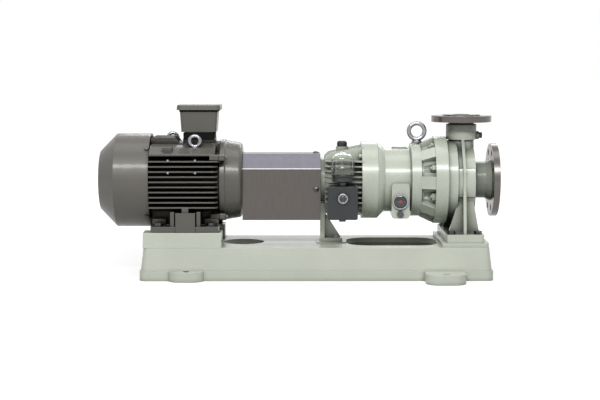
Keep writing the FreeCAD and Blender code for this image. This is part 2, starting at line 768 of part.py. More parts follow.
def bearing_ring_pair(body, stations, inner, outer, width):
    """Plain rings at both stations of a shaft."""
    for rear in stations:
        revolve(body, ring_profile(rear, f"({rear} + {width})", inner, outer))


def bearing_rings():
    """Shielded bearings: outer rings of all four, and inner rings for each of the two shafts."""
    outer_rings = new_body("bearing_outer_rings")
    motor_stations = (MOTOR_BEARING_REAR, f"({MOTOR_BEARING_FRONT} - motor_bearing_width)")
    drive_stations = (DRIVE_REAR, DRIVE_FRONT)
    motor = ("motor", motor_stations, "motor_journal_radius", "motor_bearing_radius", "motor_bearing_width")
    drive = ("drive", drive_stations, "drive_journal_radius", "drive_bearing_radius", "drive_bearing_width")
    for shaft, stations, inner, outer, width in (motor, drive):
        race = f"({inner} + ({outer} - {inner}) * 0.3)"
        lip = f"{race} + seat_clearance"
        for rear in stations:
            front = f"({rear} + {width})"
            revolve(outer_rings, [(rear, lip), (f"{rear} + 1.5", lip), (f"{rear} + 1.5", f"{outer} - 6"),
                                  (f"{front} - 1.5", f"{outer} - 6"), (f"{front} - 1.5", lip), (front, lip),
                                  (front, outer), (rear, outer)])
        bearing_ring_pair(new_body(f"{shaft}_bearing_inner_rings"), stations, inner, race, width)


def end_shields():
    """The drive-end shield with its domed shoulder, and the flatter shield under the fan cover."""
    drive = new_body("end_shield_drive")
    bore = "(motor_shaft_radius + running_gap + 1)"
    housing = "motor_bearing_radius"
    seat_rear = f"({MOTOR_BEARING_FRONT} - motor_bearing_width)"
    inner = f"({SHIELD_FACE} - shield_wall)"
    revolve(drive, [(seat_rear, housing), (MOTOR_BEARING_FRONT, housing),
                    (MOTOR_BEARING_FRONT, "motor_journal_radius + 1"),
                    (SHIELD_FACE, "motor_journal_radius + 1"), (MOTOR_SHOULDER, "motor_journal_radius + 1"),
                    (MOTOR_SHOULDER, "shield_nose - 4"), (SHIELD_FACE, "shield_nose"),
                    (SHIELD_FACE, "shield_shoulder - 12", "12"), (f"{SHIELD_FACE} - 12", "shield_shoulder"),
                    (f"{SHIELD_REAR} + 16", "shield_radius - 16"), (f"{SHIELD_REAR} + 16", "shield_radius"),
                    (SHIELD_REAR, "shield_radius"), (SHIELD_REAR, "frame_bore - seat_clearance"),
                    (f"{SHIELD_REAR} - 4", "frame_bore - seat_clearance"),
                    (f"{SHIELD_REAR} - 4", "frame_bore - 8"),
                    (inner, "shield_shoulder - 22"), (inner, f"{housing} + 8"),
                    (seat_rear, f"{housing} + 8")])
    lug = "frame_lug_place / sqrt(2)"
    ear = pad(drive, circles(drive, "YZ_Plane", [(lug, lug, "frame_lug_radius")], SHIELD_REAR), "16")
    around(drive, [ear], 4)
    bolt_hole = circles(drive, "YZ_Plane", [(lug, lug, "cover_bolt_radius + bolt_clearance")], SHIELD_REAR)
    around(drive, [pocket(drive, bolt_hole, "17")], 4)
    fan_side = new_body("end_shield_fan")
    front = FRAME_REAR
    rear = f"({FRAME_REAR} - fan_shield_width)"
    bearing_front = f"({MOTOR_BEARING_REAR} + motor_bearing_width)"
    rim = "(fan_cover_radius - fan_cover_sheet - seat_clearance)"
    revolve(fan_side, [(f"{MOTOR_BEARING_REAR} - 6", "motor_journal_radius + 1"),
                       (MOTOR_BEARING_REAR, "motor_journal_radius + 1"), (MOTOR_BEARING_REAR, housing),
                       (bearing_front, housing), (bearing_front, f"{housing} + 8"),
                       (f"{rear} + 8", f"{housing} + 14"),
                       (f"{rear} + 8", "frame_bore - 8"), (f"{front} + 4", "frame_bore - 8"),
                       (f"{front} + 4", "frame_bore - seat_clearance"),
                       (front, "frame_bore - seat_clearance"),
                       (front, rim), (rear, rim), (rear, f"{housing} + 10"),
                       (f"{MOTOR_BEARING_REAR} - 6", f"{housing} + 6")])
    rear_holes = circles(fan_side, "YZ_Plane", [(lug, lug, "cover_bolt_radius + bolt_clearance")], rear)
    around(fan_side, [pocket(fan_side, rear_holes, "fan_shield_width + 1")], 4)
    screw_hole = corner_circle(fan_side, FAN_SCREW_X, "3 + bolt_clearance", "fan_cover_radius + 1")
    around(fan_side, [pocket(fan_side, screw_hole, "8.5", back=True)], 4)
    bolts = new_body("end_shield_bolts")
    ring_bolts(bolts, f"({SHIELD_REAR} + 16)", "frame_lug_place", "cover_bolt_radius", "30", 4,
               forward=False)
    ring_bolts(bolts, rear, "frame_lug_place", "cover_bolt_radius", "fan_shield_width + 14", 4)


def corner_circle(body, x, radius, distance):
    """A circle facing out at 45 degrees from the shaft line, at a distance from it."""
    sketch = new_sketch(body, "XY_Plane")
    sketch.AttachmentOffset = FreeCAD.Placement(Vector(0, 0, 0), FreeCAD.Rotation(Vector(1, 0, 0), 45))
    sketch.setExpression("AttachmentOffset.Base.y", bound(f"-({distance}) * sin(45)"))
    sketch.setExpression("AttachmentOffset.Base.z", bound(f"({distance}) * cos(45)"))
    return circles(body, "XY_Plane", [(x, 0, radius)], sketch=sketch)


def fan_pieces():
    """Radial fan on the rear of the shaft and the pressed cover with its air slots."""
    fan_rear = f"({FAN_COVER_BEND} + 6)"
    fan = new_body("cooling_fan")
    revolve(fan, [(fan_rear, "fan_shaft_radius"), (f"{fan_rear} + fan_width", "fan_shaft_radius"),
                  (f"{fan_rear} + fan_width", "fan_hub_radius"),
                  (f"{fan_rear} + fan_width", "fan_hub_radius + 2"),
                  (f"{fan_rear} + fan_width - 3", "fan_radius"),
                  (f"{fan_rear} + fan_width - 6", "fan_radius"),
                  (f"{fan_rear} + fan_width - 4", "fan_hub_radius"), (fan_rear, "fan_hub_radius")])
    blade = [("fan_hub_radius - 2", "-1.5"), ("fan_radius - 1", "-1.5"), ("fan_radius - 1", "1.5"),
             ("fan_hub_radius - 2", "1.5")]
    vane = pad(fan, outline(fan, "YZ_Plane", blade, f"{fan_rear} + fan_width - 5"),
               "fan_width - 9", back=True)
    around(fan, [vane], 8)
    cover = new_body("fan_cover")
    sheet = "fan_cover_sheet"
    inner = f"(fan_cover_radius - {sheet})"
    revolve(cover, [(FRAME_REAR, "fan_cover_radius"), (FAN_COVER_BEND, "fan_cover_radius"),
                    (FAN_COVER_REAR, "fan_cover_end"), (FAN_COVER_REAR, 0),
                    (f"{FAN_COVER_REAR} + {sheet}", 0),
                    (f"{FAN_COVER_REAR} + {sheet}", f"fan_cover_end - {sheet} / 2"),
                    (f"{FAN_COVER_BEND} + {sheet} / 2", inner), (FRAME_REAR, inner)])
    slot = box_corners("22", "fan_cover_end - 10", "-3", "3")
    around(cover, [pocket(cover, outline(cover, "YZ_Plane", slot, f"{FAN_COVER_REAR} - 1"), "5")], 18)
    around(cover, [pocket(cover, corner_circle(cover, FAN_SCREW_X, "3 + bolt_clearance",
                                               "fan_cover_radius - 6"), "10")], 4)
    screws = new_body("fan_cover_screws")
    head = pad(screws, corner_circle(screws, FAN_SCREW_X, "6", "fan_cover_radius + 0.2"), "4")
    shank = pad(screws, corner_circle(screws, FAN_SCREW_X, "3", "fan_cover_radius + 0.2"), "7", back=True)
    around(screws, [head, shank], 4)


def terminal_box():
    """Drafted box on a neck, its lid, its terminal block and two blanked cable entries."""
    box = new_body("terminal_box")
    middle = "-box_place"
    neck = box_corners(f"{middle} - box_neck_length / 2", f"{middle} + box_neck_length / 2",
                       "-box_neck_half", "box_neck_half", "10")
    pad(box, outline(box, "XY_Plane", neck, "box_seat"), "box_floor - box_seat")
    half = "(box_length / 2 - (box_top - box_floor) * tan(box_draft))"
    wide = "(box_width / 2 - (box_top - box_floor) * tan(box_draft))"
    body_outline = box_corners(f"{middle} - {half}", f"{middle} + {half}", f"-{wide}", wide, "8")
    pad(box, outline(box, "XY_Plane", body_outline, "box_floor"), "box_top - box_floor", taper="box_draft")
    hollow = box_corners(f"{middle} - {half} + box_wall", f"{middle} + {half} - box_wall",
                         f"-{wide} + box_wall", f"{wide} - box_wall", "5")
    pocket(box, outline(box, "XY_Plane", hollow, "box_floor + box_wall"), "box_top")
    entries = [(f"{middle} {side} 26", "box_floor + 28", "10") for side in "-+"]
    pocket(box, circles(box, "XZ_Plane", entries, f"-({wide} - box_wall - 2)"), "box_wall + 10", back=True)
    lid = new_body("terminal_box_lid")
    lid_half = "(box_length / 2 + lid_overhang)"
    lid_wide = "(box_width / 2 + lid_overhang)"
    lid_outline = box_corners(f"{middle} - {lid_half}", f"{middle} + {lid_half}", f"-{lid_wide}", lid_wide,
                              "lid_corner")
    pad(lid, outline(lid, "XY_Plane", lid_outline, "box_top"), "lid_height", taper="-8")
    screw = [(f"{middle} - {lid_half} + 11", f"-{lid_wide} + 11", "4.5")]
    well = pocket(lid, circles(lid, "XY_Plane", screw, "box_top + 5"), "lid_height")
    grid(lid, [well], "X_Axis", "box_length + 2 * lid_overhang - 22", 2, "Y_Axis",
         "box_width + 2 * lid_overhang - 22")
    block = new_body("terminal_block")
    plate = box_corners(f"{middle} - 30", f"{middle} + 30", "-22", "22")
    pad(block, outline(block, "XY_Plane", plate, "box_floor + box_wall"), "12")
    post = pad(block, circles(block, "XY_Plane", [(f"{middle} - 20", "-11", "3")],
                              "box_floor + box_wall + 12"), "14")
    grid(block, [post], "X_Axis", "40", 3, "Y_Axis", "22")
    plugs = new_body("cable_entry_plugs")
    heads = [(x, z, "14") for x, z, radius in entries]
    face = f"-({wide} + (box_top - box_floor) * tan(box_draft))"
    pad(plugs, circles(plugs, "XZ_Plane", heads, face), "8", back=True)
    stems = [(x, z, "10 - seat_clearance") for x, z, radius in entries]
    pad(plugs, circles(plugs, "XZ_Plane", stems, face), "box_wall + 2")


def eyebolts():
    """Two forged eyebolts on opposite corners of the motor frame."""
    body = new_body("motor_lifting_eyes")
    centre = "(eyebolt_seat + 6 + eyebolt_ring)"
    for x, y in (("-eyebolt_front_place", "-eyebolt_half"), ("-eyebolt_rear_place", "eyebolt_half")):
        offset = f"-({y})"
        pad(body, circles(body, "XY_Plane", [(x, y, "11")], "eyebolt_seat"), "6")
        pad(body, circles(body, "XY_Plane", [(x, y, "4")], "eyebolt_seat"), "14", back=True)
        pad(body, circles(body, "XZ_Plane", [(x, f"{centre} + 3", "eyebolt_ring + eyebolt_wire")], offset),
            "2 * eyebolt_wire", both=True)
        hole = circles(body, "XZ_Plane", [(x, f"{centre} + 3", "eyebolt_ring - eyebolt_wire")], offset)
        pocket(body, hole, "2 * eyebolt_wire + 4", both=True)
    return body


def coupling():
    """Two jawed hubs and the elastomer spider whose legs lie between the jaws."""
    jaw_rear = f"({COUPLING_MIDDLE} - jaw_length / 2)"
    motor_hub = new_body("motor_coupling_hub")
    rear = f"({MOTOR_SHAFT_END} - hub_length + 2)"
    revolve(motor_hub, [(rear, "motor_shaft_radius"), (jaw_rear, "motor_shaft_radius"),
                        (jaw_rear, "hub_radius"),
                        (f"{jaw_rear} - 16", "hub_radius"), (f"{jaw_rear} - 20", "hub_waist"),
                        (rear, "hub_waist")])
    jaws(motor_hub, jaw_rear, 0)
    hub_keyway(motor_hub, MOTOR_SHAFT_END, "motor_shaft_radius")
    pump_hub = new_body("pump_coupling_hub")
    jaw_front = f"({COUPLING_MIDDLE} + jaw_length / 2)"
    front = f"({PUMP_SHAFT_END} + hub_length - 2)"
    revolve(pump_hub, [(jaw_front, "pump_shaft_end_radius"), (front, "pump_shaft_end_radius"),
                       (front, "hub_waist"),
                       (f"{jaw_front} + 20", "hub_waist"), (f"{jaw_front} + 16", "hub_radius"),
                       (jaw_front, "hub_radius")])
    jaws(pump_hub, jaw_rear, 60)
    hub_keyway(pump_hub, PUMP_SHAFT_END, "pump_shaft_end_radius")
    spider = new_body("coupling_spider")
    slack = "seat_clearance"
    bore = "(motor_shaft_radius + spider_bore_gap)"
    revolve(spider, ring_profile(f"{jaw_rear} + {slack}", f"{jaw_front} - {slack}", bore,
                                 f"jaw_inner - {slack}"))
    leg = box_corners(f"{bore} + 2", "hub_radius - 1", "-leg_half", "leg_half")
    arm = pad(spider, outline(spider, "YZ_Plane", leg, f"{jaw_rear} + {slack}"),
              f"jaw_length - 2 * {slack}")
    around(spider, [arm], 6)


def jaws(hub, start, middle_angle):
    """Three jaws whose sides run parallel to the spider legs next to them."""
    side = "(leg_half + seat_clearance)"
    points = []
    for radius, turn in (("jaw_inner", -1), ("hub_radius", -1), ("hub_radius", 1), ("jaw_inner", 1)):
        angle = f"({middle_angle + 30} deg + {turn} * (30 deg - asin({side} / {radius})))"
        points.append((f"{radius} * cos({angle})", f"{radius} * sin({angle})"))
    points[1] = (*points[1], "hub_radius")
    points[3] = (*points[3], "-jaw_inner")
    jaw = pad(hub, outline(hub, "YZ_Plane", points, start), "jaw_length")
    around(hub, [jaw], 3)


def hub_keyway(hub, end, radius):
    """The keyway in a hub bore, open along the whole hub."""
    start, stop = sorted_key(end)
    slot = box_corners(f"{start} - hub_length", f"{stop} + hub_length", "-key_width / 2 - seat_clearance",
                       "key_width / 2 + seat_clearance")
    pocket(hub, outline(hub, "XY_Plane", slot, f"{radius} - 4"), "4 + 3 + seat_clearance")


def guard_section(inset):
    """Half-round-shouldered guard section in the plane across the shaft, from near bottom to far bottom."""
    side = f"(guard_half - {inset})"
    top = f"(guard_top - {inset})"
    shoulder = f"(guard_half - (guard_top - guard_bend) - {inset} * 0.4142)"
    bend = f"(guard_bend - {inset} * 0.4142)"
    return [(f"-{side}", "-guard_bottom"), (side, "-guard_bottom"), (side, bend), (shoulder, top),
            (f"-{shoulder}", top), (f"-{side}", bend)]


def coupling_guard():
    """Folded sheet guard open below, with the plate and tabs that carry it on the bearing cover."""
    rear = f"({SHIELD_FACE} + 1)"
    guard = new_body("coupling_guard")
    pad(guard, outline(guard, "YZ_Plane", guard_section("0"), rear),
        f"{GUARD_FRONT} + guard_plate - {rear}")
    hollow = guard_section("guard_sheet")
    hollow[0] = (hollow[0][0], "-guard_bottom - 5")
    hollow[1] = (hollow[1][0], "-guard_bottom - 5")
    pocket(guard, outline(guard, "YZ_Plane", hollow, f"{rear} - 1"), f"{COVER_REAR} - {rear} + 2")
    bracket = new_body("guard_bracket")
    inset = "(guard_sheet + seat_clearance)"
    plate = guard_section(inset)
    plate[0] = (plate[0][0], "-bearing_cover_radius - 1")
    plate[1] = (plate[1][0], "-bearing_cover_radius - 1")
    pad(bracket, outline(bracket, "YZ_Plane", plate, GUARD_FRONT), "guard_plate")
    top = f"(guard_top - {inset})"
    side = f"(guard_half - {inset})"
    shoulder = "(guard_half - (guard_top - guard_bend) - 6)"
    top_tab = box_corners(f"-{shoulder}", shoulder, f"{top} - 3", top)
    pad(bracket, outline(bracket, "YZ_Plane", top_tab, GUARD_FRONT), "guard_tab", back=True)
    for low, high in ((f"-{side}", f"-{side} + 3"), (f"{side} - 3", side)):
        tab = box_corners(low, high, "-60", "guard_bend - 10")
        pad(bracket, outline(bracket, "YZ_Plane", tab, GUARD_FRONT), "guard_tab", back=True)
    hole = circles(bracket, "YZ_Plane", [(0, 0, "guard_shaft_hole")], f"{GUARD_FRONT} - 1")
    pocket(bracket, hole, "guard_plate + 2")
    bolt = [("cover_bolt_place * cos(45)", "cover_bolt_place * sin(45)",
             "cover_bolt_radius + bolt_clearance")]
    around(bracket, [pocket(bracket, circles(bracket, "YZ_Plane", bolt, f"{GUARD_FRONT} - 1"),
                            "guard_plate + 2")], 4)
    screw_x = f"({GUARD_FRONT} - guard_tab / 2)"
    screws = new_body("guard_screws")
    pad(screws, circles(screws, "XY_Plane", [(screw_x, 0, "2 * guard_screw_radius")], "guard_top"), "4")
    pad(screws, circles(screws, "XY_Plane", [(screw_x, 0, "guard_screw_radius")], "guard_top"),
        "6.5", back=True)
    for sign, back in (("", False), ("-", True)):
        spot = [(screw_x, "-20", "2 * guard_screw_radius")]
        stem = [(screw_x, "-20", "guard_screw_radius")]
        pad(screws, circles(screws, "XZ_Plane", spot, f"{sign}guard_half"), "4", back=back)
        pad(screws, circles(screws, "XZ_Plane", stem, f"{sign}guard_half"), "6.5", back=not back)
    for piece in (guard, bracket):
        radius = "guard_screw_radius + seat_clearance"
        pocket(piece, circles(piece, "XY_Plane", [(screw_x, 0, radius)], "guard_bend"), "guard_top")
        pocket(piece, circles(piece, "XZ_Plane", [(screw_x, "-20", radius)]), "4 * guard_half", both=True)


def bearing_bracket():
    """Finned oil housing: plates across the whole bracket, then the turned core, flange and cavities."""
    body = new_body("bearing_bracket")
    end = f"({BRACKET_FLANGE_REAR} + 2)"
    wing = [(BRACKET_REAR, "-bracket_fin_start + 12"), (f"{BRACKET_REAR} + 12", "-bracket_fin_start"),
            (end, "-bracket_fin_reach"), (end, "bracket_fin_reach"),
            (f"{BRACKET_REAR} + 12", "bracket_fin_start"),
            (BRACKET_REAR, "bracket_fin_start - 12")]
    span = "(bracket_fin_spacing * (bracket_fin_count - 1))"
    lowest = f"-{span} / 2 - bracket_fin_thickness / 2"
    flat = pad(body, outline(body, "XY_Plane", wing, lowest), "bracket_fin_thickness")
    grid(body, [flat], "Z_Axis", span, "bracket_fin_count")
    upright = pad(body, outline(body, "XZ_Plane", wing, f"-({lowest})"), "bracket_fin_thickness", back=True)
    grid(body, [upright], "Y_Axis", span, "bracket_fin_count")
    core = [(BRACKET_REAR, 10), (LANTERN_JOINT, 10), (LANTERN_JOINT, "flange_ring_radius"),
            (BRACKET_FLANGE_REAR, "flange_ring_radius"), (BRACKET_FLANGE_REAR, "bracket_core + 10"),
            (f"{BRACKET_REAR} + 14", "bracket_core"), (BRACKET_REAR, "bracket_neck")]
    revolve(body, core)
    seat = box_corners(f"{BRACKET_REAR} + oiler_start", f"{BRACKET_REAR} + oiler_start + oiler_length",
                       "-oiler_bottom", "-oiler_top")
    pad(body, outline(body, "XZ_Plane", seat, "oiler_seat"), "oiler_seat - 30", back=True)
    top = [(BREATHER_X, 0, "breather_radius + 3")]
    pad(body, circles(body, "XY_Plane", top, "breather_seat"), "30", back=True)
    lug = box_corners("-support_half", "support_half", f"-bearing_cover_radius - 30", "-30")
    pad(body, outline(body, "YZ_Plane", lug, BRACKET_REAR), "16")
    bearing_seat = "drive_bearing_radius"
    revolve(body, [(f"{BRACKET_REAR} - 1", 0), (f"{LANTERN_JOINT} + 1", 0),
                   (f"{LANTERN_JOINT} + 1", "flange_ring_radius - 32"),
                   (f"{LANTERN_JOINT} - 12", "flange_ring_radius - 32"),
                   (f"{LANTERN_JOINT} - 12", "drive_journal_radius + 3"),
                   (DRIVE_FRONT_END, "drive_journal_radius + 3"), (DRIVE_FRONT_END, bearing_seat),
                   (DRIVE_FRONT, bearing_seat), (DRIVE_FRONT, f"{bearing_seat} - 3"),
                   (f"{DRIVE_FRONT} - 4", f"{bearing_seat} - 3"),
                   (f"{DRIVE_FRONT} - 4", "sump_radius"), (f"{DRIVE_REAR_END} + 4", "sump_radius"),
                   (f"{DRIVE_REAR_END} + 4", f"{bearing_seat} - 3"),
                   (DRIVE_REAR_END, f"{bearing_seat} - 3"),
                   (DRIVE_REAR_END, bearing_seat), (f"{BRACKET_REAR} - 1", bearing_seat)], cut=True)
    vent = circles(body, "XY_Plane", [(BREATHER_X, 0, "7 + seat_clearance")], "breather_seat")
    pocket(body, vent, "40", back=True)
    joint_holes(body, f"{LANTERN_JOINT} - 14", "15")
    cover_holes = [("cover_bolt_place * cos(45)", "cover_bolt_place * sin(45)",
                    "cover_bolt_radius + seat_clearance")]
    tapped = pocket(body, circles(body, "YZ_Plane", cover_holes, BRACKET_REAR), "16")
    around(body, [tapped], 4)
    lug_hole = [("-support_half / 2", "-bearing_cover_radius - 15", "cover_bolt_radius + seat_clearance")]
    support_holes = pocket(body, circles(body, "YZ_Plane", lug_hole, BRACKET_REAR), "14")
    grid(body, [support_holes], "Y_Axis", "support_half")
    return body


def joint_holes(body, start, depth):
    """The eight bolt holes of the joint between bracket and lantern."""
    y = "joint_circle * cos(22.5)"
    z = "joint_circle * sin(22.5)"
    hole = circles(body, "YZ_Plane", [(y, z, "cover_bolt_radius + bolt_clearance")], start)
    around(body, [pocket(body, hole, depth)], 8)


def bearing_cover_pieces():
    """The round cover over the rear bearing, its seal and the four bolts."""
    cover = new_body("bearing_cover")
    bore = "(pump_shaft_end_radius + 3)"
    revolve(cover, [(COVER_REAR, bore), (f"{BRACKET_REAR} - 3", bore),
                    (f"{BRACKET_REAR} - 3", "seal_radius"),
                    (BRACKET_REAR, "seal_radius"), (BRACKET_REAR, "drive_bearing_radius - 6"),
                    (f"{DRIVE_REAR} - seat_clearance", "drive_bearing_radius - 6"),
                    (f"{DRIVE_REAR} - seat_clearance", "drive_bearing_radius - seat_clearance"),
                    (BRACKET_REAR, "drive_bearing_radius - seat_clearance"),
                    (BRACKET_REAR, "bearing_cover_radius"),
                    (f"{COVER_REAR} + 1", "bearing_cover_radius"),
                    (COVER_REAR, "bearing_cover_radius - 1")])
    hole = [("cover_bolt_place * cos(45)", "cover_bolt_place * sin(45)",
             "cover_bolt_radius + bolt_clearance")]
    around(cover, [pocket(cover, circles(cover, "YZ_Plane", hole, f"{COVER_REAR} - 1"),
                          "bearing_cover_width + 2")], 4)
    turned_piece("lip_seal", [(f"{BRACKET_REAR} - 3", "pump_shaft_end_radius + 6"),
                              (f"{BRACKET_REAR} + 2", "pump_shaft_end_radius + 6"),
                              (f"{BRACKET_REAR} + 2", "pump_shaft_end_radius + running_fit + 0.2"),
                              (f"{BRACKET_REAR} + 3.5", "pump_shaft_end_radius + running_fit + 0.2"),
                              (f"{BRACKET_REAR} + 3.5", "seal_radius"),
                              (f"{BRACKET_REAR} - 3", "seal_radius")])
    bolts = new_body("bracket_bolts")
    ring_bolts(bolts, GUARD_FRONT, "cover_bolt_place", "cover_bolt_radius",
               "guard_plate + bearing_cover_width + 12", 4)
    ring_bolts(bolts, CONE_REAR, "joint_circle", "cover_bolt_radius", "lantern_rear_flange + 12", 8,
               forward=False, start_angle="22.5")


def support_foot():
    """Angle foot under the bracket: an upright plate, a foot plate and a gusset between them."""
    body = new_body("support_foot")
    low = f"({SUPPORT_PAD_TOP} - shaft_height)"
    plate = box_corners("-support_half", "support_half", low, "-bearing_cover_radius - 1")
    pad(body, outline(body, "YZ_Plane", plate, f"{BRACKET_REAR} - support_plate"), "support_plate")
    foot = box_corners(f"{COVER_REAR}", f"{COVER_REAR} + support_foot_length", "-support_half",
                       "support_half", "4")
    pad(body, outline(body, "XY_Plane", foot, low), "support_foot_height")
    gusset = [(f"{BRACKET_REAR} - 1", f"{low} + 5"),
              (f"{COVER_REAR} + support_foot_length - 4", f"{low} + 5"),
              (f"{COVER_REAR} + support_foot_length - 4", f"{low} + support_foot_height + 2"),
              (f"{BRACKET_REAR} + 4", "-bearing_cover_radius - 34"),
              (f"{BRACKET_REAR} - 1", "-bearing_cover_radius - 34")]
    pad(body, outline(body, "XZ_Plane", gusset), "8", both=True)
    holes = [(SUPPORT_BOLT_X, y, "cover_bolt_radius + bolt_clearance") for y in ("-support_half / 2",
             "support_half / 2")]
    pocket(body, circles(body, "XY_Plane", holes, f"{low} - 1"), "support_foot_height + 2")
    bolt = [("-support_half / 2", "-bearing_cover_radius - 15", "cover_bolt_radius + bolt_clearance")]
    upper = pocket(body, circles(body, "YZ_Plane", bolt, f"{COVER_REAR} - 1"), "support_plate + 2")
    grid(body, [upper], "Y_Axis", "support_half")
    bolts = new_body("support_bolts")
    y = "(-support_half / 2)"
    z = "(-bearing_cover_radius - 15)"
    face = f"({BRACKET_REAR} - support_plate)"
    head = pad(bolts, outline(bolts, "YZ_Plane", hexagon(y, z, "cover_bolt_radius * head_ratio"), face),
               "bolt_head", back=True)
    shank = pad(bolts, circles(bolts, "YZ_Plane", [(y, z, "cover_bolt_radius")], face),
                "support_plate + 10")
    grid(bolts, [head, shank], "Y_Axis", "support_half")
    vertical_bolts(bolts, (SUPPORT_BOLT_X, "(-support_half / 2)"), f"({low} + support_foot_height)",
                   "support_foot_height + 10", "cover_bolt_radius", None, "support_half", "5.5")


def drive_shaft():
    """The pump's outer shaft: coupling end, journals and the seat of the magnet carrier."""
    body = new_body("drive_shaft")
    front = f"({MAGNET_REAR} - 6)"
    revolve(body, [(PUMP_SHAFT_END, 0), (front, 0), (front, "drive_journal_radius - 3"),
                   (f"{DRIVE_FRONT_END} + 4", "drive_journal_radius - 3"),
                   (f"{DRIVE_FRONT_END} + 4", "drive_journal_radius"),
                   (DRIVE_FRONT, "drive_journal_radius"), (DRIVE_FRONT, "drive_journal_radius + 3"),
                   (DRIVE_REAR_END, "drive_journal_radius + 3"), (DRIVE_REAR_END, "drive_journal_radius"),
                   (f"{DRIVE_REAR} - 1", "drive_journal_radius"),
                   (f"{DRIVE_REAR} - 1", "pump_shaft_end_radius"),
                   (f"{PUMP_SHAFT_END} + 1.5", "pump_shaft_end_radius"),
                   (PUMP_SHAFT_END, "pump_shaft_end_radius - 1.5")])
    keyway(body, PUMP_SHAFT_END, "pump_shaft_end_radius")
    return body


def oil_pieces():
    """Oiler block with its sight and drain plugs, the collar, the glass bottle and the breather cap."""
    block = new_body("oiler_block")
    start = f"({BRACKET_REAR} + oiler_start)"
    stop = f"({start} + oiler_length)"
    centre = OILER_X
    face = box_corners(start, stop, "-oiler_bottom", "-oiler_top", "6")
    pad(block, outline(block, "XZ_Plane", face, "oiler_seat"), "oiler_front - oiler_seat")
    nose = circles(block, "XZ_Plane", [(centre, "-oiler_top - 36", "oiler_length / 2 - 12")], "oiler_front")
    pad(block, nose, "3")
    neck = circles(block, "XY_Plane", [(centre, OILER_Y, "oiler_neck_radius")], "-oiler_top")
    pad(block, neck, "oiler_top + 4")
    pocket(block, circles(block, "XY_Plane", [(centre, OILER_Y, "8")], "5"), "30", back=True)
    bore = circles(block, "XZ_Plane", [(centre, "-oiler_top - 36", "9")], "oiler_front + 4")
    pocket(block, bore, "16", back=True)
    under = circles(block, "XY_Plane", [(centre, OILER_Y, "6")], "-oiler_bottom")
    pocket(block, under, "12")
    collar = new_body("oiler_collar")
    revolve_about(collar, centre, OILER_Y, [("oiler_neck_radius + seat_clearance", "-4"),
                                            ("collar_radius", "-4"),
                                             ("collar_radius", "collar_height - 4"),
                                             ("12", "collar_height - 4"),
                                             ("12", "4 + seat_clearance"),
                                             ("oiler_neck_radius + seat_clearance", "4 + seat_clearance")])
    bottle = new_body("oiler_bottle")
    low = "(collar_height - 4 + seat_clearance)"
    high = f"({low} + bottle_height)"
    radius = "bottle_radius"
    revolve_about(bottle, centre, OILER_Y, [("12", low), (radius, low),
                                            (radius, f"{high} - {radius} + 4", "bottle_radius"),
                                             ("4", high), ("0", high), ("0", f"{high} - 2.5"),
                                             ("3", f"{high} - 2.5", "-(bottle_radius - 2.5)"),
                                             (f"{radius} - 2.5", f"{high} - {radius} + 4"),
                                             (f"{radius} - 2.5", f"{low} + 3"), ("12", f"{low} + 3")])
    sight = new_body("oiler_sight_plug")
    spot = (centre, "-oiler_top - 36")
    pad(sight, circles(sight, "XZ_Plane", [(*spot, "sight_plug_radius")], "oiler_front + 3"), "5")
    pad(sight, circles(sight, "XZ_Plane", [(*spot, "9 - seat_clearance")], "oiler_front + 3"),
        "12", back=True)
    cap = new_body("breather_cap")
    seat = "(breather_seat + seat_clearance)"
    revolve_about(cap, BREATHER_X, "0", [("0", f"{seat} + 15"), ("0", f"{seat} - 12"),
                                         ("7 - seat_clearance", f"{seat} - 12"),
                                         ("7 - seat_clearance", seat), ("breather_radius", seat),
                                         ("breather_radius", f"{seat} + 11"),
                                         ("breather_radius - 4", f"{seat} + 15")])


def revolve_about(body, x, y, corners):
    """Turn a profile (radius, height) about an upright axis that stands at x, y."""
    sketch = new_sketch(body, "XZ_Plane", f"-({y})")
    sketch.setExpression("AttachmentOffset.Base.x", bound(x))
    outline(body, "XZ_Plane", corners, sketch=sketch)
    feature = body.newObject("PartDesign::Revolution", "Turned")
    feature.Profile = sketch
    feature.ReferenceAxis = (sketch, ["V_Axis"])
    feature.Angle = 360
    return feature


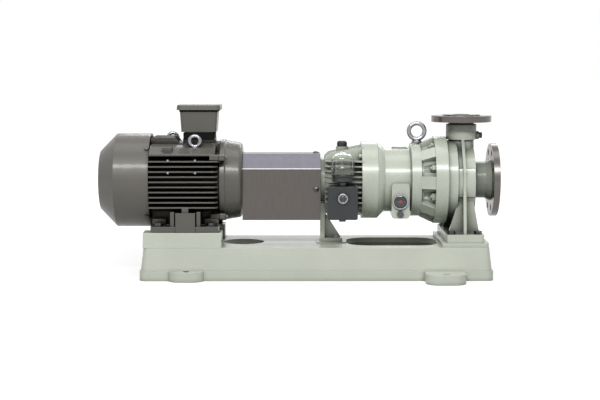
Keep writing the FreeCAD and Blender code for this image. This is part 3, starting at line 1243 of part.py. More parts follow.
def lantern():
    """Shell between the bracket and the casing: barrel, lifting ring, bell and main flange."""
    body = new_body("lantern")
    inner = "(barrel_radius - barrel_wall)"
    outer_profile = [(LANTERN_JOINT, 20), (CASING_JOINT, 20), (CASING_JOINT, "lantern_flange_radius - 2"),
                     (f"{CASING_JOINT} - 2", "lantern_flange_radius"),
                     (MAIN_FLANGE_REAR, "lantern_flange_radius"),
                     (MAIN_FLANGE_REAR, "eye_ring_radius - 2"), (EYE_RING_FRONT, "barrel_radius + 3"),
                     (EYE_RING_FRONT, "eye_ring_radius"), (EYE_RING_REAR, "eye_ring_radius"),
                     (EYE_RING_REAR, "barrel_radius - 2"), (BARREL_FRONT, "barrel_radius - 2"),
                     (BARREL_FRONT, "barrel_radius"), (BARREL_REAR, "barrel_radius"),
                     (CONE_REAR, "cone_small"),
                     (CONE_REAR, "flange_ring_radius"), (LANTERN_JOINT, "flange_ring_radius")]
    revolve(body, outer_profile)
    bell_ribs(body)
    window = box_corners(f"{BARREL_REAR} + window_pad_start",
                         f"{BARREL_REAR} + window_pad_start + window_pad_length",
                         "-window_pad_bottom", "-window_pad_top", "8")
    pad(body, outline(body, "XZ_Plane", window, "window_pad_front"), "60", back=True)
    plate_seat = box_corners(f"{BARREL_REAR} + 26", f"{BARREL_REAR} + 70", "-16", "16")
    pad(body, outline(body, "XY_Plane", plate_seat, "barrel_radius + 1"), "10", back=True)
    boss = circles(body, "XY_Plane", [(f"({EYE_RING_FRONT} - eye_ring_width / 2)", 0, "12")],
                   "eye_ring_radius + 2")
    pad(body, boss, "20", back=True)
    revolve(body, [(f"{LANTERN_JOINT} - 1", 0), (f"{CASING_JOINT} + 1", 0),
                   (f"{CASING_JOINT} + 1", "lantern_register + seat_clearance"),
                   (f"{CASING_JOINT} - can_flange", "lantern_register + seat_clearance"),
                   (f"{CASING_JOINT} - can_flange", inner), (BARREL_REAR, inner),
                   (CONE_REAR, "cone_small - barrel_wall - 2"),
                   (f"{LANTERN_JOINT} - 1", "cone_small - barrel_wall - 2")], cut=True)
    joint_holes(body, f"{LANTERN_JOINT} - 1", "lantern_rear_flange + 2")
    spot = [(f"{BARREL_REAR} + window_place", "-window_height", "11")]
    pocket(body, circles(body, "XZ_Plane", spot, "window_pad_front + 1"), "14", back=True)
    drain = [(f"{BARREL_REAR} + window_place", "-window_height - 34", "5")]
    pocket(body, circles(body, "XZ_Plane", drain, "window_pad_front + 1"), "12", back=True)
    y = "stud_circle / 2 * cos(22.5)"
    z = "stud_circle / 2 * sin(22.5)"
    stud_hole = circles(body, "YZ_Plane", [(y, z, "stud_radius + bolt_clearance")],
                        f"{MAIN_FLANGE_REAR} - 20")
    around(body, [pocket(body, stud_hole, "lantern_flange + 21")], "stud_count")
    nut_well = circles(body, "YZ_Plane", [(y, z, "stud_radius * 2.1")], f"{MAIN_FLANGE_REAR} - 30")
    around(body, [pocket(body, nut_well, "30")], "stud_count")
    eye_hole = circles(body, "XY_Plane", [(f"({EYE_RING_FRONT} - eye_ring_width / 2)", 0,
                                           "6 + seat_clearance")],
                       "eye_ring_radius + 3")
    pocket(body, eye_hole, "12", back=True)
    return body


def bell_ribs(body):
    """Eight ribs between the lifting ring and the main flange, with the stud pockets between them."""
    rib = [(f"{EYE_RING_FRONT} - 1", "barrel_radius - 2"), (f"{MAIN_FLANGE_REAR} + 1", "barrel_radius - 2"),
           (f"{MAIN_FLANGE_REAR} + 1", "lantern_flange_radius - 3"),
           (f"{MAIN_FLANGE_REAR} - 8", "lantern_flange_radius - 6"),
           (f"{EYE_RING_FRONT} - 1", "eye_ring_radius")]
    web = pad(body, outline(body, "XZ_Plane", rib), "34", both=True)
    around(body, [web], "stud_count")


def lantern_fittings():
    """Leak window, drain plug, lifting eye, blank plate and the bolts of the lantern joint."""
    window = new_body("leak_sight_window")
    spot = (f"{BARREL_REAR} + window_place", "-window_height")
    pad(window, circles(window, "XZ_Plane", [(*spot, "window_ring")], "window_pad_front"), "6")
    pad(window, circles(window, "XZ_Plane", [(*spot, "11 - seat_clearance")], "window_pad_front"),
        "10", back=True)
    pocket(window, circles(window, "XZ_Plane", [(*spot, "window_radius")], "window_pad_front + 6"),
           "3", back=True)
    eye = new_body("pump_lifting_eye")
    x = f"({EYE_RING_FRONT} - eye_ring_width / 2)"
    pad(eye, circles(eye, "XY_Plane", [(x, 0, "14")], "eye_ring_radius + 2"), "6")
    pad(eye, circles(eye, "XY_Plane", [(x, 0, "6")], "eye_ring_radius + 2"), "10", back=True)
    centre = (x, "lifting_eye_centre")
    pad(eye, circles(eye, "XZ_Plane", [(*centre, "lifting_eye_radius")]),
        "lifting_eye_thickness", both=True)
    pocket(eye, circles(eye, "XZ_Plane", [(*centre, "lifting_eye_hole")]),
           "2 * lifting_eye_thickness", both=True)


def magnet_coupling():
    """Outer carrier and magnets, the thin can between, and the inner rotor with its magnets."""
    carrier_outer = "(outer_magnet_inner + outer_magnet_thickness + carrier_wall)"
    magnet_outer = "(outer_magnet_inner + outer_magnet_thickness)"
    rear = f"({MAGNET_REAR} - carrier_web - 6)"
    carrier = new_body("outer_magnet_carrier")
    hub = "(drive_journal_radius - 3)"
    revolve(carrier, [(f"{rear} - 10", hub), (f"{MAGNET_REAR} - 6", hub),
                      (f"{MAGNET_REAR} - 6", magnet_outer),
                      (f"{MAGNET_FRONT} + 3", magnet_outer), (f"{MAGNET_FRONT} + 3", carrier_outer),
                      (f"{rear} + 6", carrier_outer), (rear, f"{carrier_outer} - 6"), (rear, "34"),
                      (f"{rear} - 10", "34")])
    magnet_blocks("outer_magnets", "outer_magnet_inner", magnet_outer)
    can = new_body("containment_shell")
    can_outer = "(can_inner + can_wall)"
    dome = f"({MAGNET_REAR} - 2)"
    flange_rear = f"({CASING_JOINT} - can_flange)"
    revolve(can, [(dome, 0), (f"{dome} + can_wall", 0), (f"{dome} + can_wall", "can_inner - 10", "-10"),
                  (f"{dome} + can_wall + 10", "can_inner"),
                  (CASING_JOINT, "can_inner"), (CASING_JOINT, "lantern_register"),
                  (flange_rear, "lantern_register"), (flange_rear, can_outer),
                  (f"{dome} + can_wall + 10", can_outer, "10 + can_wall"),
                  (dome, "can_inner - 10")])
    inner = new_body("inner_magnet_rotor")
    seat = "(inner_rotor_radius - inner_magnet_thickness)"
    start = f"({MAGNET_REAR} + 2)"
    stop = f"({MAGNET_FRONT} + 4)"
    revolve(inner, [(start, "pump_shaft_radius"), (stop, "pump_shaft_radius"),
                    (stop, "inner_rotor_radius - 1"),
                    (f"{MAGNET_FRONT}", "inner_rotor_radius - 1"), (f"{MAGNET_FRONT}", seat),
                    (f"{MAGNET_REAR} + 6", seat), (f"{MAGNET_REAR} + 6", "inner_rotor_radius - 1"),
                    (start, "inner_rotor_radius - 9")])
    magnet_blocks("inner_magnets", seat, "inner_rotor_radius", "6")


def magnet_blocks(label, low, high, setback="0"):
    """A ring of magnet blocks, each a separate solid with flat sides and curved faces."""
    body = new_body(label)
    half = "(180 / magnet_rows - 1)"
    points = [(f"{low} * cos({half})", f"-{low} * sin({half})"),
              (f"{high} * cos({half})", f"-{high} * sin({half})", high),
              (f"{high} * cos({half})", f"{high} * sin({half})"),
              (f"{low} * cos({half})", f"{low} * sin({half})", f"-{low}")]
    block = pad(body, outline(body, "YZ_Plane", points, f"{MAGNET_REAR} + {setback}"),
                f"magnet_length - {setback}")
    around(body, [block], "magnet_rows")
    return body


def casing_cover():
    """Plug between the can and the volute, with the tube that holds the two bushes in the can."""
    body = new_body("casing_cover")
    tube = "(bush_radius + 8)"
    revolve(body, [(BUSH_REAR, "bush_radius"), (f"{BUSH_REAR} + bush_length", "bush_radius"),
                   (f"{BUSH_REAR} + bush_length", "bush_radius - 3"), (BUSH_FRONT, "bush_radius - 3"),
                   (BUSH_FRONT, "bush_radius"), (COVER_FRONT, "bush_radius"),
                   (COVER_FRONT, "cover_plug_radius"),
                   (f"{CASING_JOINT} + cover_flange", "cover_plug_radius"),
                   (f"{CASING_JOINT} + cover_flange", "lantern_register"),
                   (CASING_JOINT, "lantern_register"),
                   (CASING_JOINT, "can_inner - seat_clearance"),
                   (f"{CASING_JOINT} - 8", "can_inner - seat_clearance"),
                   (f"{CASING_JOINT} - 8", tube), (BUSH_REAR, tube)])
    bushes = new_body("bearing_bushes")
    sleeves = new_body("shaft_sleeves")
    for start in (BUSH_REAR, BUSH_FRONT):
        stop = f"({start} + bush_length)"
        revolve(bushes, ring_profile(start, stop, "sleeve_radius + running_fit", "bush_radius"))
        revolve(sleeves, ring_profile(start, stop, "pump_shaft_radius", "sleeve_radius"))


def pump_shaft():
    """The inner shaft from the inner rotor through the bushes to the impeller."""
    front = f"({IMPELLER_REAR} + impeller_width - 2)"
    turned_piece("pump_shaft", [(f"{MAGNET_REAR} + 4", 0), (f"{front} + 14", 0), (f"{front} + 14", "8"),
                                (front, "8"),
                                (front, "pump_shaft_radius"), (f"{MAGNET_REAR} + 4", "pump_shaft_radius")])
    nut = new_body("impeller_nut")
    revolve(nut, [(front, 8), (f"{front} + 16", 8), (f"{front} + 16", 0), (f"{front} + 24", 0),
                  (f"{front} + 20", 9, "-16"), (f"{front} + 10", "16"), (front, "18")])


def impeller():
    """Closed impeller: two shrouds with backward-curved blades between them, hub and eye."""
    body = new_body("impeller")
    rear = IMPELLER_REAR
    back_face = f"({rear} + shroud_thickness)"
    front = f"({rear} + impeller_width - 8)"
    revolve(body, [(rear, "pump_shaft_radius"), (f"{rear} + impeller_width - 2", "pump_shaft_radius"),
                   (f"{rear} + impeller_width - 2", "impeller_hub_radius - 4"),
                   (f"{rear} + impeller_width - 8", "impeller_hub_radius"),
                   (back_face, "impeller_hub_radius + 6"), (back_face, "impeller_radius"),
                   (rear, "impeller_radius")])
    blade = [("eye_radius - 4", "0", "62"), ("impeller_radius * cos(50)", "impeller_radius * sin(50)"),
             ("(impeller_radius) * cos(54)", "(impeller_radius) * sin(54)", "-66"),
             ("eye_radius - 6", "blade_thickness")]
    vane = pad(body, outline(body, "YZ_Plane", blade, f"{back_face} - 1"), f"{front} - {back_face} + 2")
    around(body, [vane], "blade_count")
    revolve(body, [(front, "eye_radius"), (f"{rear} + impeller_width + wear_ring_width", "eye_radius"),
                   (f"{rear} + impeller_width + wear_ring_width", "eye_radius + 4"),
                   (f"{front} + shroud_thickness", "eye_radius + 4"),
                   (f"{front} + shroud_thickness", "impeller_radius"),
                   (front, "impeller_radius")])
    return body


def volute_casing():
    """Cast casing: joint flange, spiral, discharge and suction necks with their flanges, and feet."""
    body = new_body("volute_casing")
    joint = CASING_JOINT
    shoulder = f"({VOLUTE_REAR} + volute_width + 17)"
    collar_start = "(suction_face - 36)"
    revolve(body, [(joint, 20), ("suction_face", 20), ("suction_face", "suction_face_radius"),
                   ("suction_face - raised_face", "suction_face_radius"),
                   ("suction_face - raised_face", "suction_flange_radius"),
                   ("suction_face - flange_thickness", "suction_flange_radius"),
                   ("suction_face - flange_thickness", "neck_radius + 8"), (collar_start, "neck_radius"),
                   (f"{shoulder} + 4", "neck_radius"), (shoulder, "neck_radius + 8"),
                   (f"{shoulder} - 5", "volute_top - 16"),
                   (f"{VOLUTE_REAR} + volute_width", "volute_top"), (VOLUTE_REAR, "volute_top"),
                   (VOLUTE_REAR, "casing_flange_radius - 1"),
                   (f"{VOLUTE_REAR} - 1", "casing_flange_radius"), (joint, "casing_flange_radius")])
    spiral = spiral_outline("volute_wall")
    pad(body, outline(body, "YZ_Plane", spiral, VOLUTE_REAR), "volute_width + 12")
    casing_feet(body)
    neck = circles(body, "XY_Plane", [(DISCHARGE_X, 0, "discharge_neck")], "40")
    pad(body, neck, "discharge_height - 45")
    band = circles(body, "XY_Plane", [(DISCHARGE_X, 0, "discharge_neck + 7")], "volute_top + 20")
    pad(body, band, "22")
    top = "(discharge_height - raised_face)"
    flange = circles(body, "XY_Plane", [(DISCHARGE_X, 0, "discharge_flange_radius")], top)
    pad(body, flange, "flange_thickness - raised_face", back=True)
    face = circles(body, "XY_Plane", [(DISCHARGE_X, 0, "discharge_face_radius")], top)
    pad(body, face, "raised_face")
    gauge = circles(body, "YZ_Plane", [(0, "volute_top + 31", "11")], f"{DISCHARGE_X} + 12")
    pad(body, gauge, "discharge_neck + 1")
    casing_cavities(body)
    return body


def spiral_outline(extra):
    """The growing spiral in the plane across the shaft, as four quarter arcs."""
    grow = "" if extra == "0" else f" + {extra}"
    top = f"(volute_top - volute_wall{grow})"
    rear = f"(volute_rear - volute_wall{grow})"
    bottom = f"(volute_bottom - volute_wall{grow})"
    front = f"(volute_front - volute_wall{grow})"
    return [("0", top, f"({top} + {rear}) / 2 + 1"), (f"-{rear}", "0", f"({rear} + {bottom}) / 2 + 1"),
            ("0", f"-{bottom}", f"({bottom} + {front}) / 2 + 1"),
            (front, "0", f"({front} + {top}) / 2 + 4")]


def casing_feet(body):
    """Foot plates, the trapezoid legs above them and the thin rib in the plane of the spiral."""
    low = "-pump_height"
    foot = box_corners(f"{DISCHARGE_X} - pump_foot_half_length", f"{DISCHARGE_X} + pump_foot_half_length",
                       "-pump_foot_half", "pump_foot_half", "6")
    pad(body, outline(body, "XY_Plane", foot, low), "pump_foot_height")
    leg = [(f"{DISCHARGE_X} - pump_foot_half_length + 6", f"{low} + 10"),
           (f"{DISCHARGE_X} + pump_foot_half_length - 6", f"{low} + 10"),
           (f"{DISCHARGE_X} + 26", "-50"), (f"{VOLUTE_REAR} + 2", "-50")]
    for offset in ("leg_plate_half", "-leg_plate_half + leg_plate_thickness"):
        pad(body, outline(body, "XZ_Plane", leg, offset), "leg_plate_thickness", back=True)
    rib = [("-pump_foot_half + 8", f"{low} + 10"), ("pump_foot_half - 8", f"{low} + 10"),
           ("volute_front + 6", "-20"),
           ("volute_front + 6", "30"), ("discharge_neck + 4", "volute_top + 24"),
           ("-discharge_neck - 4", "volute_top + 24"), ("-volute_rear - 6", "30"),
           ("-volute_rear - 6", "-20")]
    pad(body, outline(body, "YZ_Plane", rib, f"{DISCHARGE_X} - casing_rib / 2"), "casing_rib")
    holes = [(f"{DISCHARGE_X} {side} pump_foot_bolt_spacing / 2", y, "foot_bolt_radius + bolt_clearance")
             for side in "-+" for y in ("-pump_foot_bolt_half", "pump_foot_bolt_half")]
    pocket(body, circles(body, "XY_Plane", holes, f"{low} - 1"), "pump_foot_height + 2")


def casing_cavities(body):
    """Everything cut out of the casing: cover seat, spiral chamber, both ports and all bolt holes."""
    chamber_front = f"({IMPELLER_REAR} + impeller_width - 1)"
    revolve(body, [(f"{CASING_JOINT} - 1", 0), ("suction_face + 1", 0),
                   ("suction_face + 1", "suction_bore"),
                   (f"{chamber_front} + wear_ring_width + 4", "suction_bore"),
                   (f"{chamber_front} + wear_ring_width + 4", WEAR_OUTER), (chamber_front, WEAR_OUTER),
                   (chamber_front, "cover_plug_radius + seat_clearance"),
                   (f"{CASING_JOINT} + cover_flange + 2", "cover_plug_radius + seat_clearance"),
                   (f"{CASING_JOINT} + cover_flange + 2", "lantern_register + seat_clearance"),
                   (f"{CASING_JOINT} - 1", "lantern_register + seat_clearance")], cut=True)
    chamber = outline(body, "YZ_Plane", spiral_outline("0"), f"{VOLUTE_REAR} + 6")
    pocket(body, chamber, "volute_width - 8")
    bore = circles(body, "XY_Plane", [(DISCHARGE_X, 0, "discharge_bore")], "discharge_height + 1")
    pocket(body, bore, "discharge_height - 60", back=True)
    gauge = circles(body, "YZ_Plane", [(0, "volute_top + 31", "6")], DISCHARGE_X)
    pocket(body, gauge, "discharge_neck + 14")
    y = "suction_bolt_circle / 2 * cos(22.5)"
    z = "suction_bolt_circle / 2 * sin(22.5)"
    suction = circles(body, "YZ_Plane", [(y, z, "flange_hole_radius")],
                      "suction_face - flange_thickness - 1")
    around(body, [pocket(body, suction, "flange_thickness + 2")], "suction_bolts")
    arm = "discharge_bolt_circle / 2 / sqrt(2)"
    holes = [(f"{DISCHARGE_X} {side} {arm}", sign,
              "flange_hole_radius") for side in "-+" for sign in (f"-{arm}", arm)]
    discharge = circles(body, "XY_Plane", holes, "discharge_height - flange_thickness - 1")
    pocket(body, discharge, "flange_thickness + 2")
    stud_y = "stud_circle / 2 * cos(22.5)"
    stud_z = "stud_circle / 2 * sin(22.5)"
    stud = circles(body, "YZ_Plane", [(stud_y, stud_z, "stud_radius + seat_clearance")], CASING_JOINT)
    around(body, [pocket(body, stud, "casing_flange - 5")], "stud_count")


def casing_small_parts():
    """Wear ring, gasket, studs, nuts and the threaded plugs of the casing."""
    chamber_front = f"({IMPELLER_REAR} + impeller_width - 1)"
    turned_piece("wear_ring", ring_profile(chamber_front, f"({chamber_front} + wear_ring_width + 2)",
                                           "eye_radius + 4 + running_gap", WEAR_OUTER))
    turned_piece("casing_gasket", ring_profile(f"({CASING_JOINT} + cover_flange)",
                                               f"({CASING_JOINT} + cover_flange + 2)",
                                               "cover_plug_radius + seat_clearance", "lantern_register"))
    studs = new_body("casing_studs_and_nuts")
    y = "(stud_circle / 2 * cos(22.5))"
    z = "(stud_circle / 2 * sin(22.5))"
    rear = f"({MAIN_FLANGE_REAR} - 14)"
    length = f"{CASING_JOINT} + casing_flange - 7 - {rear}"
    stud = pad(studs, circles(studs, "YZ_Plane", [(y, z, "stud_radius")], rear), length)
    around(studs, [stud], "stud_count")
    nut_start = f"({MAIN_FLANGE_REAR} - 10)"
    nut_section = outline(studs, "YZ_Plane", hexagon(y, z, "stud_radius * 1.83"), nut_start)
    circles(studs, "YZ_Plane", [(y, z, "stud_radius + 0.1")], sketch=nut_section)
    nut = pad(studs, nut_section, "10")
    around(studs, [nut], "stud_count")


def threaded_plugs():
    """The hexagon plugs of the gauge port, the oiler's drain and the lantern's drain."""
    plugs = new_body("threaded_plugs")
    height = "volute_top + 31"
    face = f"({DISCHARGE_X} + discharge_neck + 13)"
    pad(plugs, outline(plugs, "YZ_Plane", hexagon("0", height, "plug_radius"), face), "9")
    pad(plugs, circles(plugs, "YZ_Plane", [("0", height, "6 - seat_clearance")], face), "16", back=True)
    pad(plugs, outline(plugs, "XY_Plane", hexagon(OILER_X, OILER_Y, "plug_radius"), "-oiler_bottom - 7"),
        "7")
    pad(plugs, circles(plugs, "XY_Plane", [(OILER_X, OILER_Y, "6 - seat_clearance")], "-oiler_bottom"), "9")
    low = (f"{BARREL_REAR} + window_place", "-window_height - 34")
    pad(plugs, outline(plugs, "XZ_Plane", hexagon(*low, "plug_radius"), "window_pad_front"), "6")
    pad(plugs, circles(plugs, "XZ_Plane", [(*low, "5 - seat_clearance")], "window_pad_front"),
        "9", back=True)


def build_all():
    """Make every piece, in the order of the shaft line from the motor to the casing."""
    baseplate()
    foot_bolts()
    motor_frame()
    motor_electrics()
    motor_shaft()
    key("motor_shaft_key", MOTOR_SHAFT_END, "motor_shaft_radius")
    end_shields()
    fan_pieces()
    terminal_box()
    eyebolts()
    coupling()
    key("pump_shaft_key", PUMP_SHAFT_END, "pump_shaft_end_radius")
    coupling_guard()
    bearing_bracket()
    bearing_cover_pieces()
    support_foot()
    drive_shaft()
    bearing_rings()
    oil_pieces()
    lantern()
    lantern_fittings()
    magnet_coupling()
    casing_cover()
    pump_shaft()
    impeller()
    volute_casing()
    casing_small_parts()
    threaded_plugs()


def refine_last_only():
    """Join split faces once, at the end of each piece, which gives the same solid sooner."""
    for node in nodes:
        for feature in node.Group:
            if "Refine" in feature.PropertiesList:
                feature.Refine = feature == node.Tip


def check_and_export():
    """Stop on any failed feature, empty piece or cut that removes nothing, then write the pieces."""
    doc.recompute()
    faults = []
    for item in doc.Objects:
        if any(state in ("Invalid", "Error") for state in item.State):
            faults.append(f"{item.Label} is {item.State}")
        if item.TypeId in ("PartDesign::Pocket", "PartDesign::Groove") and item.BaseFeature:
            if item.Shape.Volume > item.BaseFeature.Shape.Volume - 0.01:
                faults.append(f"{item.Label} in {item.getParentGeoFeatureGroup().Label} cuts nothing")
    for node in nodes:
        if node.Shape.isNull() or not node.Shape.isValid():
            faults.append(f"{node.Label} has no valid shape")
    if faults:
        raise RuntimeError("; ".join(faults))
    os.makedirs("parts", exist_ok=True)
    for node in nodes:
        node.Shape.exportStep(f"parts/{node.Label}.step")
        print(node.Label, len(node.Shape.Solids), round(node.Shape.Volume))
    print(len(nodes), "pieces")


fill_sheet()
build_all()
refine_last_only()
check_and_export()
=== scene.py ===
import math

import bmesh
import bpy
from mathutils import Matrix, Vector

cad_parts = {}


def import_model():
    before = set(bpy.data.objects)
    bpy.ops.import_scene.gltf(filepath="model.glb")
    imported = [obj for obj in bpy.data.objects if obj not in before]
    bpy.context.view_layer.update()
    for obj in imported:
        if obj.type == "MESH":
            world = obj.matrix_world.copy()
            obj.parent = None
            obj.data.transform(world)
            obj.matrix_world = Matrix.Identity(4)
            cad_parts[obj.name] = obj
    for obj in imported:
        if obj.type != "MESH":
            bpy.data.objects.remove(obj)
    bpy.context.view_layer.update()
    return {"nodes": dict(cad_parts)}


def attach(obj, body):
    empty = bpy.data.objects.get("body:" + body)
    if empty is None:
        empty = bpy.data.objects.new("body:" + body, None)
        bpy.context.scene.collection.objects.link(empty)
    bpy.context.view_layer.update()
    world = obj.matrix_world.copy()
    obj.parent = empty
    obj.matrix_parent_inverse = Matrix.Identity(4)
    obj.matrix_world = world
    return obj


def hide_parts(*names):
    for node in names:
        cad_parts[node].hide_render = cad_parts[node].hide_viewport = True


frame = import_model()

NODES = frame["nodes"]

# Sizes and places are in metres. Of the names below, those that end in Z are heights over the base's
# underside, and so is the last number of a place (x, y, z). Other heights start at the shaft line.
AXIS_Z = 0.260
DISCHARGE_X = 0.400
NEAR_SIDE = (0, -1, 0)

# Base
BASE_HALF_WIDTH = 0.140
BASE_HALF_LENGTH = 0.470
RAIL_REAR = -0.465
RAIL_FRONT = -0.255

# Guard, with the plain film on its near upper fold and a painted highlight along the fold
GUARD_FOLD_Z = AXIS_Z + 0.0345
GUARD_TOP = 0.0742
GUARD_SIDE = 0.0752
GUARD_SCREW_HEIGHT = -0.020
FILM_INNER = 0.0345
# Width of the painted highlight along the fold
FOLD_HIGHLIGHT_WIDTH = 0.0022

# Motor; the lugs and their screws are given as (across, up)
FRAME_REAR = -0.451
SHIELD_REAR = -0.262
SHIELD_LUG_FRONT = SHIELD_REAR + 0.016
SHIELD_FACE = -0.201
SHIELD_CORNER = 0.012
BARREL_BORE = 0.1022
BARREL_RADIUS = 0.1075
FIN_COUNT = 10
FIN_REACH = 0.129
TOP_FIN_SPACING = 0.0155
TOP_FIN_HEIGHT = 0.120
TOP_FIN_STEP = 0.104
TOP_FIN_HALF = 0.0017
LOW_FIN_HALF = 0.0015
SIDE_FIN_SPACING = 0.01375
SIDE_FIN_TOP = 0.0586
SIDE_FIN_HALF = 0.0021
LUGS = ((0.1115, 0.069), (0.076, -0.092))
LUG_OUTLINE = (0.0165, 0.0078, 0.003)
LUG_SCREWS = ((0.117, 0.069), (0.080, -0.094))
FAN_END_SCREW = 0.082
FOOT_BOLTS_X = (-0.424, -0.284)
BOX_X = -0.319
BOX_REAR = -0.372
LID_TOP = 0.199
LID_SCREW = 0.049
MOTOR_EYES = ((-0.3275, -0.084), (-0.400, 0.084))
STUDS_X = (-0.3971, -0.3245)
STUD_HEIGHTS = (0.0615, 0.0290)

# Oiler; the block's near and far faces are distances towards the camera
OILER_X = 0.070
OILER_Y = -0.1165
BLOCK_MIDDLE = -0.052
BLOCK_FAR = 0.092
BLOCK_NEAR = 0.146
NECK_LOW = -0.0085
COLLAR_LOW = 0.005
COLLAR_HIGH = 0.023
COLLAR_RIBS = 36
OILER_BORE = 0.0040
BOTTLE_LOW = COLLAR_HIGH + 0.0003
BOTTLE_TOP = 0.0823
BOTTLE_RADIUS = 0.0290
BOTTLE_CORNER = 0.0180
BOTTLE_WALL = 0.0022
CROWN_RISE = 0.0022
OIL_LEVEL = BOTTLE_LOW + 0.0150

# Pump
PLATE_X = 0.230
LANTERN_TOP = 0.0891
LEAK_WINDOW = (0.227, -0.098, AXIS_Z - 0.052)
COVER_SCREW_CIRCLE = 0.050
JOINT_SCREW_CIRCLE = 0.097
SUCTION_BARE_X = 0.4795
DISCHARGE_BARE_Z = AXIS_Z + 0.1598
BELT_RADIUS = 0.1025
BELT_DEPTH = 0.016
BELT_REAR = 0.3765
BELT_FRONT = 0.4298
BELT_START = -23
BELT_SWEEP = 44.5
BELT_STEPS = 12

# Both turn a shape made along +Z. With ALONG_X its x, y and z run along +Y, +Z and +X, and with ALONG_Y
# along +X, +Z and -Y, towards the camera.
ALONG_X = Matrix(((0, 0, 1, 0), (1, 0, 0, 0), (0, 1, 0, 0), (0, 0, 0, 1)))
ALONG_Y = Matrix(((1, 0, 0, 0), (0, 0, -1, 0), (0, 1, 0, 0), (0, 0, 0, 1)))
SHAFT = Matrix.Translation((0, 0, AXIS_Z)) @ ALONG_X

# Camera, fitted to the photograph
CAMERA_PLACE = (-0.0606, -3.8998, 0.5913)
CAMERA_PITCH_DOWN = 5.68
CAMERA_YAW = -0.25
CAMERA_LENS = 85.02

# Stage
FLOOR_HALF = 30
FLOOR_LOW_Z = -0.02
FLOOR_TOP_Z = -0.0005
WORLD_LEVEL = 0.19
LIGHT_TARGET = (0, 0, 0.25)

# Surface colours, linear
PUMP_GREEN = (0.505, 0.540, 0.458)
BASE_GREEN = (0.532, 0.562, 0.484)
MOTOR_GREY = (0.084, 0.0785, 0.0660)
FIXING_GREY = (0.125, 0.119, 0.104)
OILER_BLUE = (0.0045, 0.0068, 0.0095)
STAINLESS = (0.118, 0.108, 0.101)
FILM = (0.185, 0.182, 0.220)
# A painted highlight along the guard's fold, not a surface colour
FOLD_HIGHLIGHT = (0.86, 0.86, 0.87)
FLANGE_STEEL = (0.142, 0.132, 0.124)
MACHINED = (0.330, 0.325, 0.315)
ZINC = (0.32, 0.33, 0.345)
IRON = (0.080, 0.080, 0.082)
BLACK = (0.012, 0.012, 0.013)
WINDOW_BLACK = (0.006, 0.006, 0.007)
RUBBER = (0.020, 0.020, 0.021)
SPIDER_RED = (0.45, 0.05, 0.03)
FLOAT_RED = (0.36, 0.02, 0.02)
FLOAT_GREY = (0.10, 0.115, 0.09)
OIL_DARK = (0.30, 0.31, 0.22)
OIL_PALE = (0.38, 0.39, 0.29)
CLEAR_GLASS = (0.93, 0.95, 0.92)
COPPER = (0.42, 0.16, 0.06)
CERAMIC = (0.018, 0.018, 0.020)
LAMINATION = (0.10, 0.10, 0.105)
MAGNET = (0.34, 0.34, 0.36)
FLOOR_GREY = (0.42, 0.42, 0.42)
SHADOW_GREY = (0.34, 0.34, 0.34)

# Depths of the surface relief, and the radius that bare metal and plastic show at their edges
RELIEF = 0.0001
PEEL = 0.00006
FINE_EDGE = 0.0006


def camera():
    """The photograph's viewing angle."""
    data = bpy.data.cameras.new("camera")
    data.sensor_width = 36
    data.lens = CAMERA_LENS
    data.clip_end = 100
    item = bpy.data.objects.new("camera", data)
    item.location = CAMERA_PLACE
    item.rotation_euler = (math.radians(90 - CAMERA_PITCH_DOWN), 0, math.radians(CAMERA_YAW))
    bpy.context.scene.collection.objects.link(item)
    bpy.context.scene.camera = item


LOOKS = {}


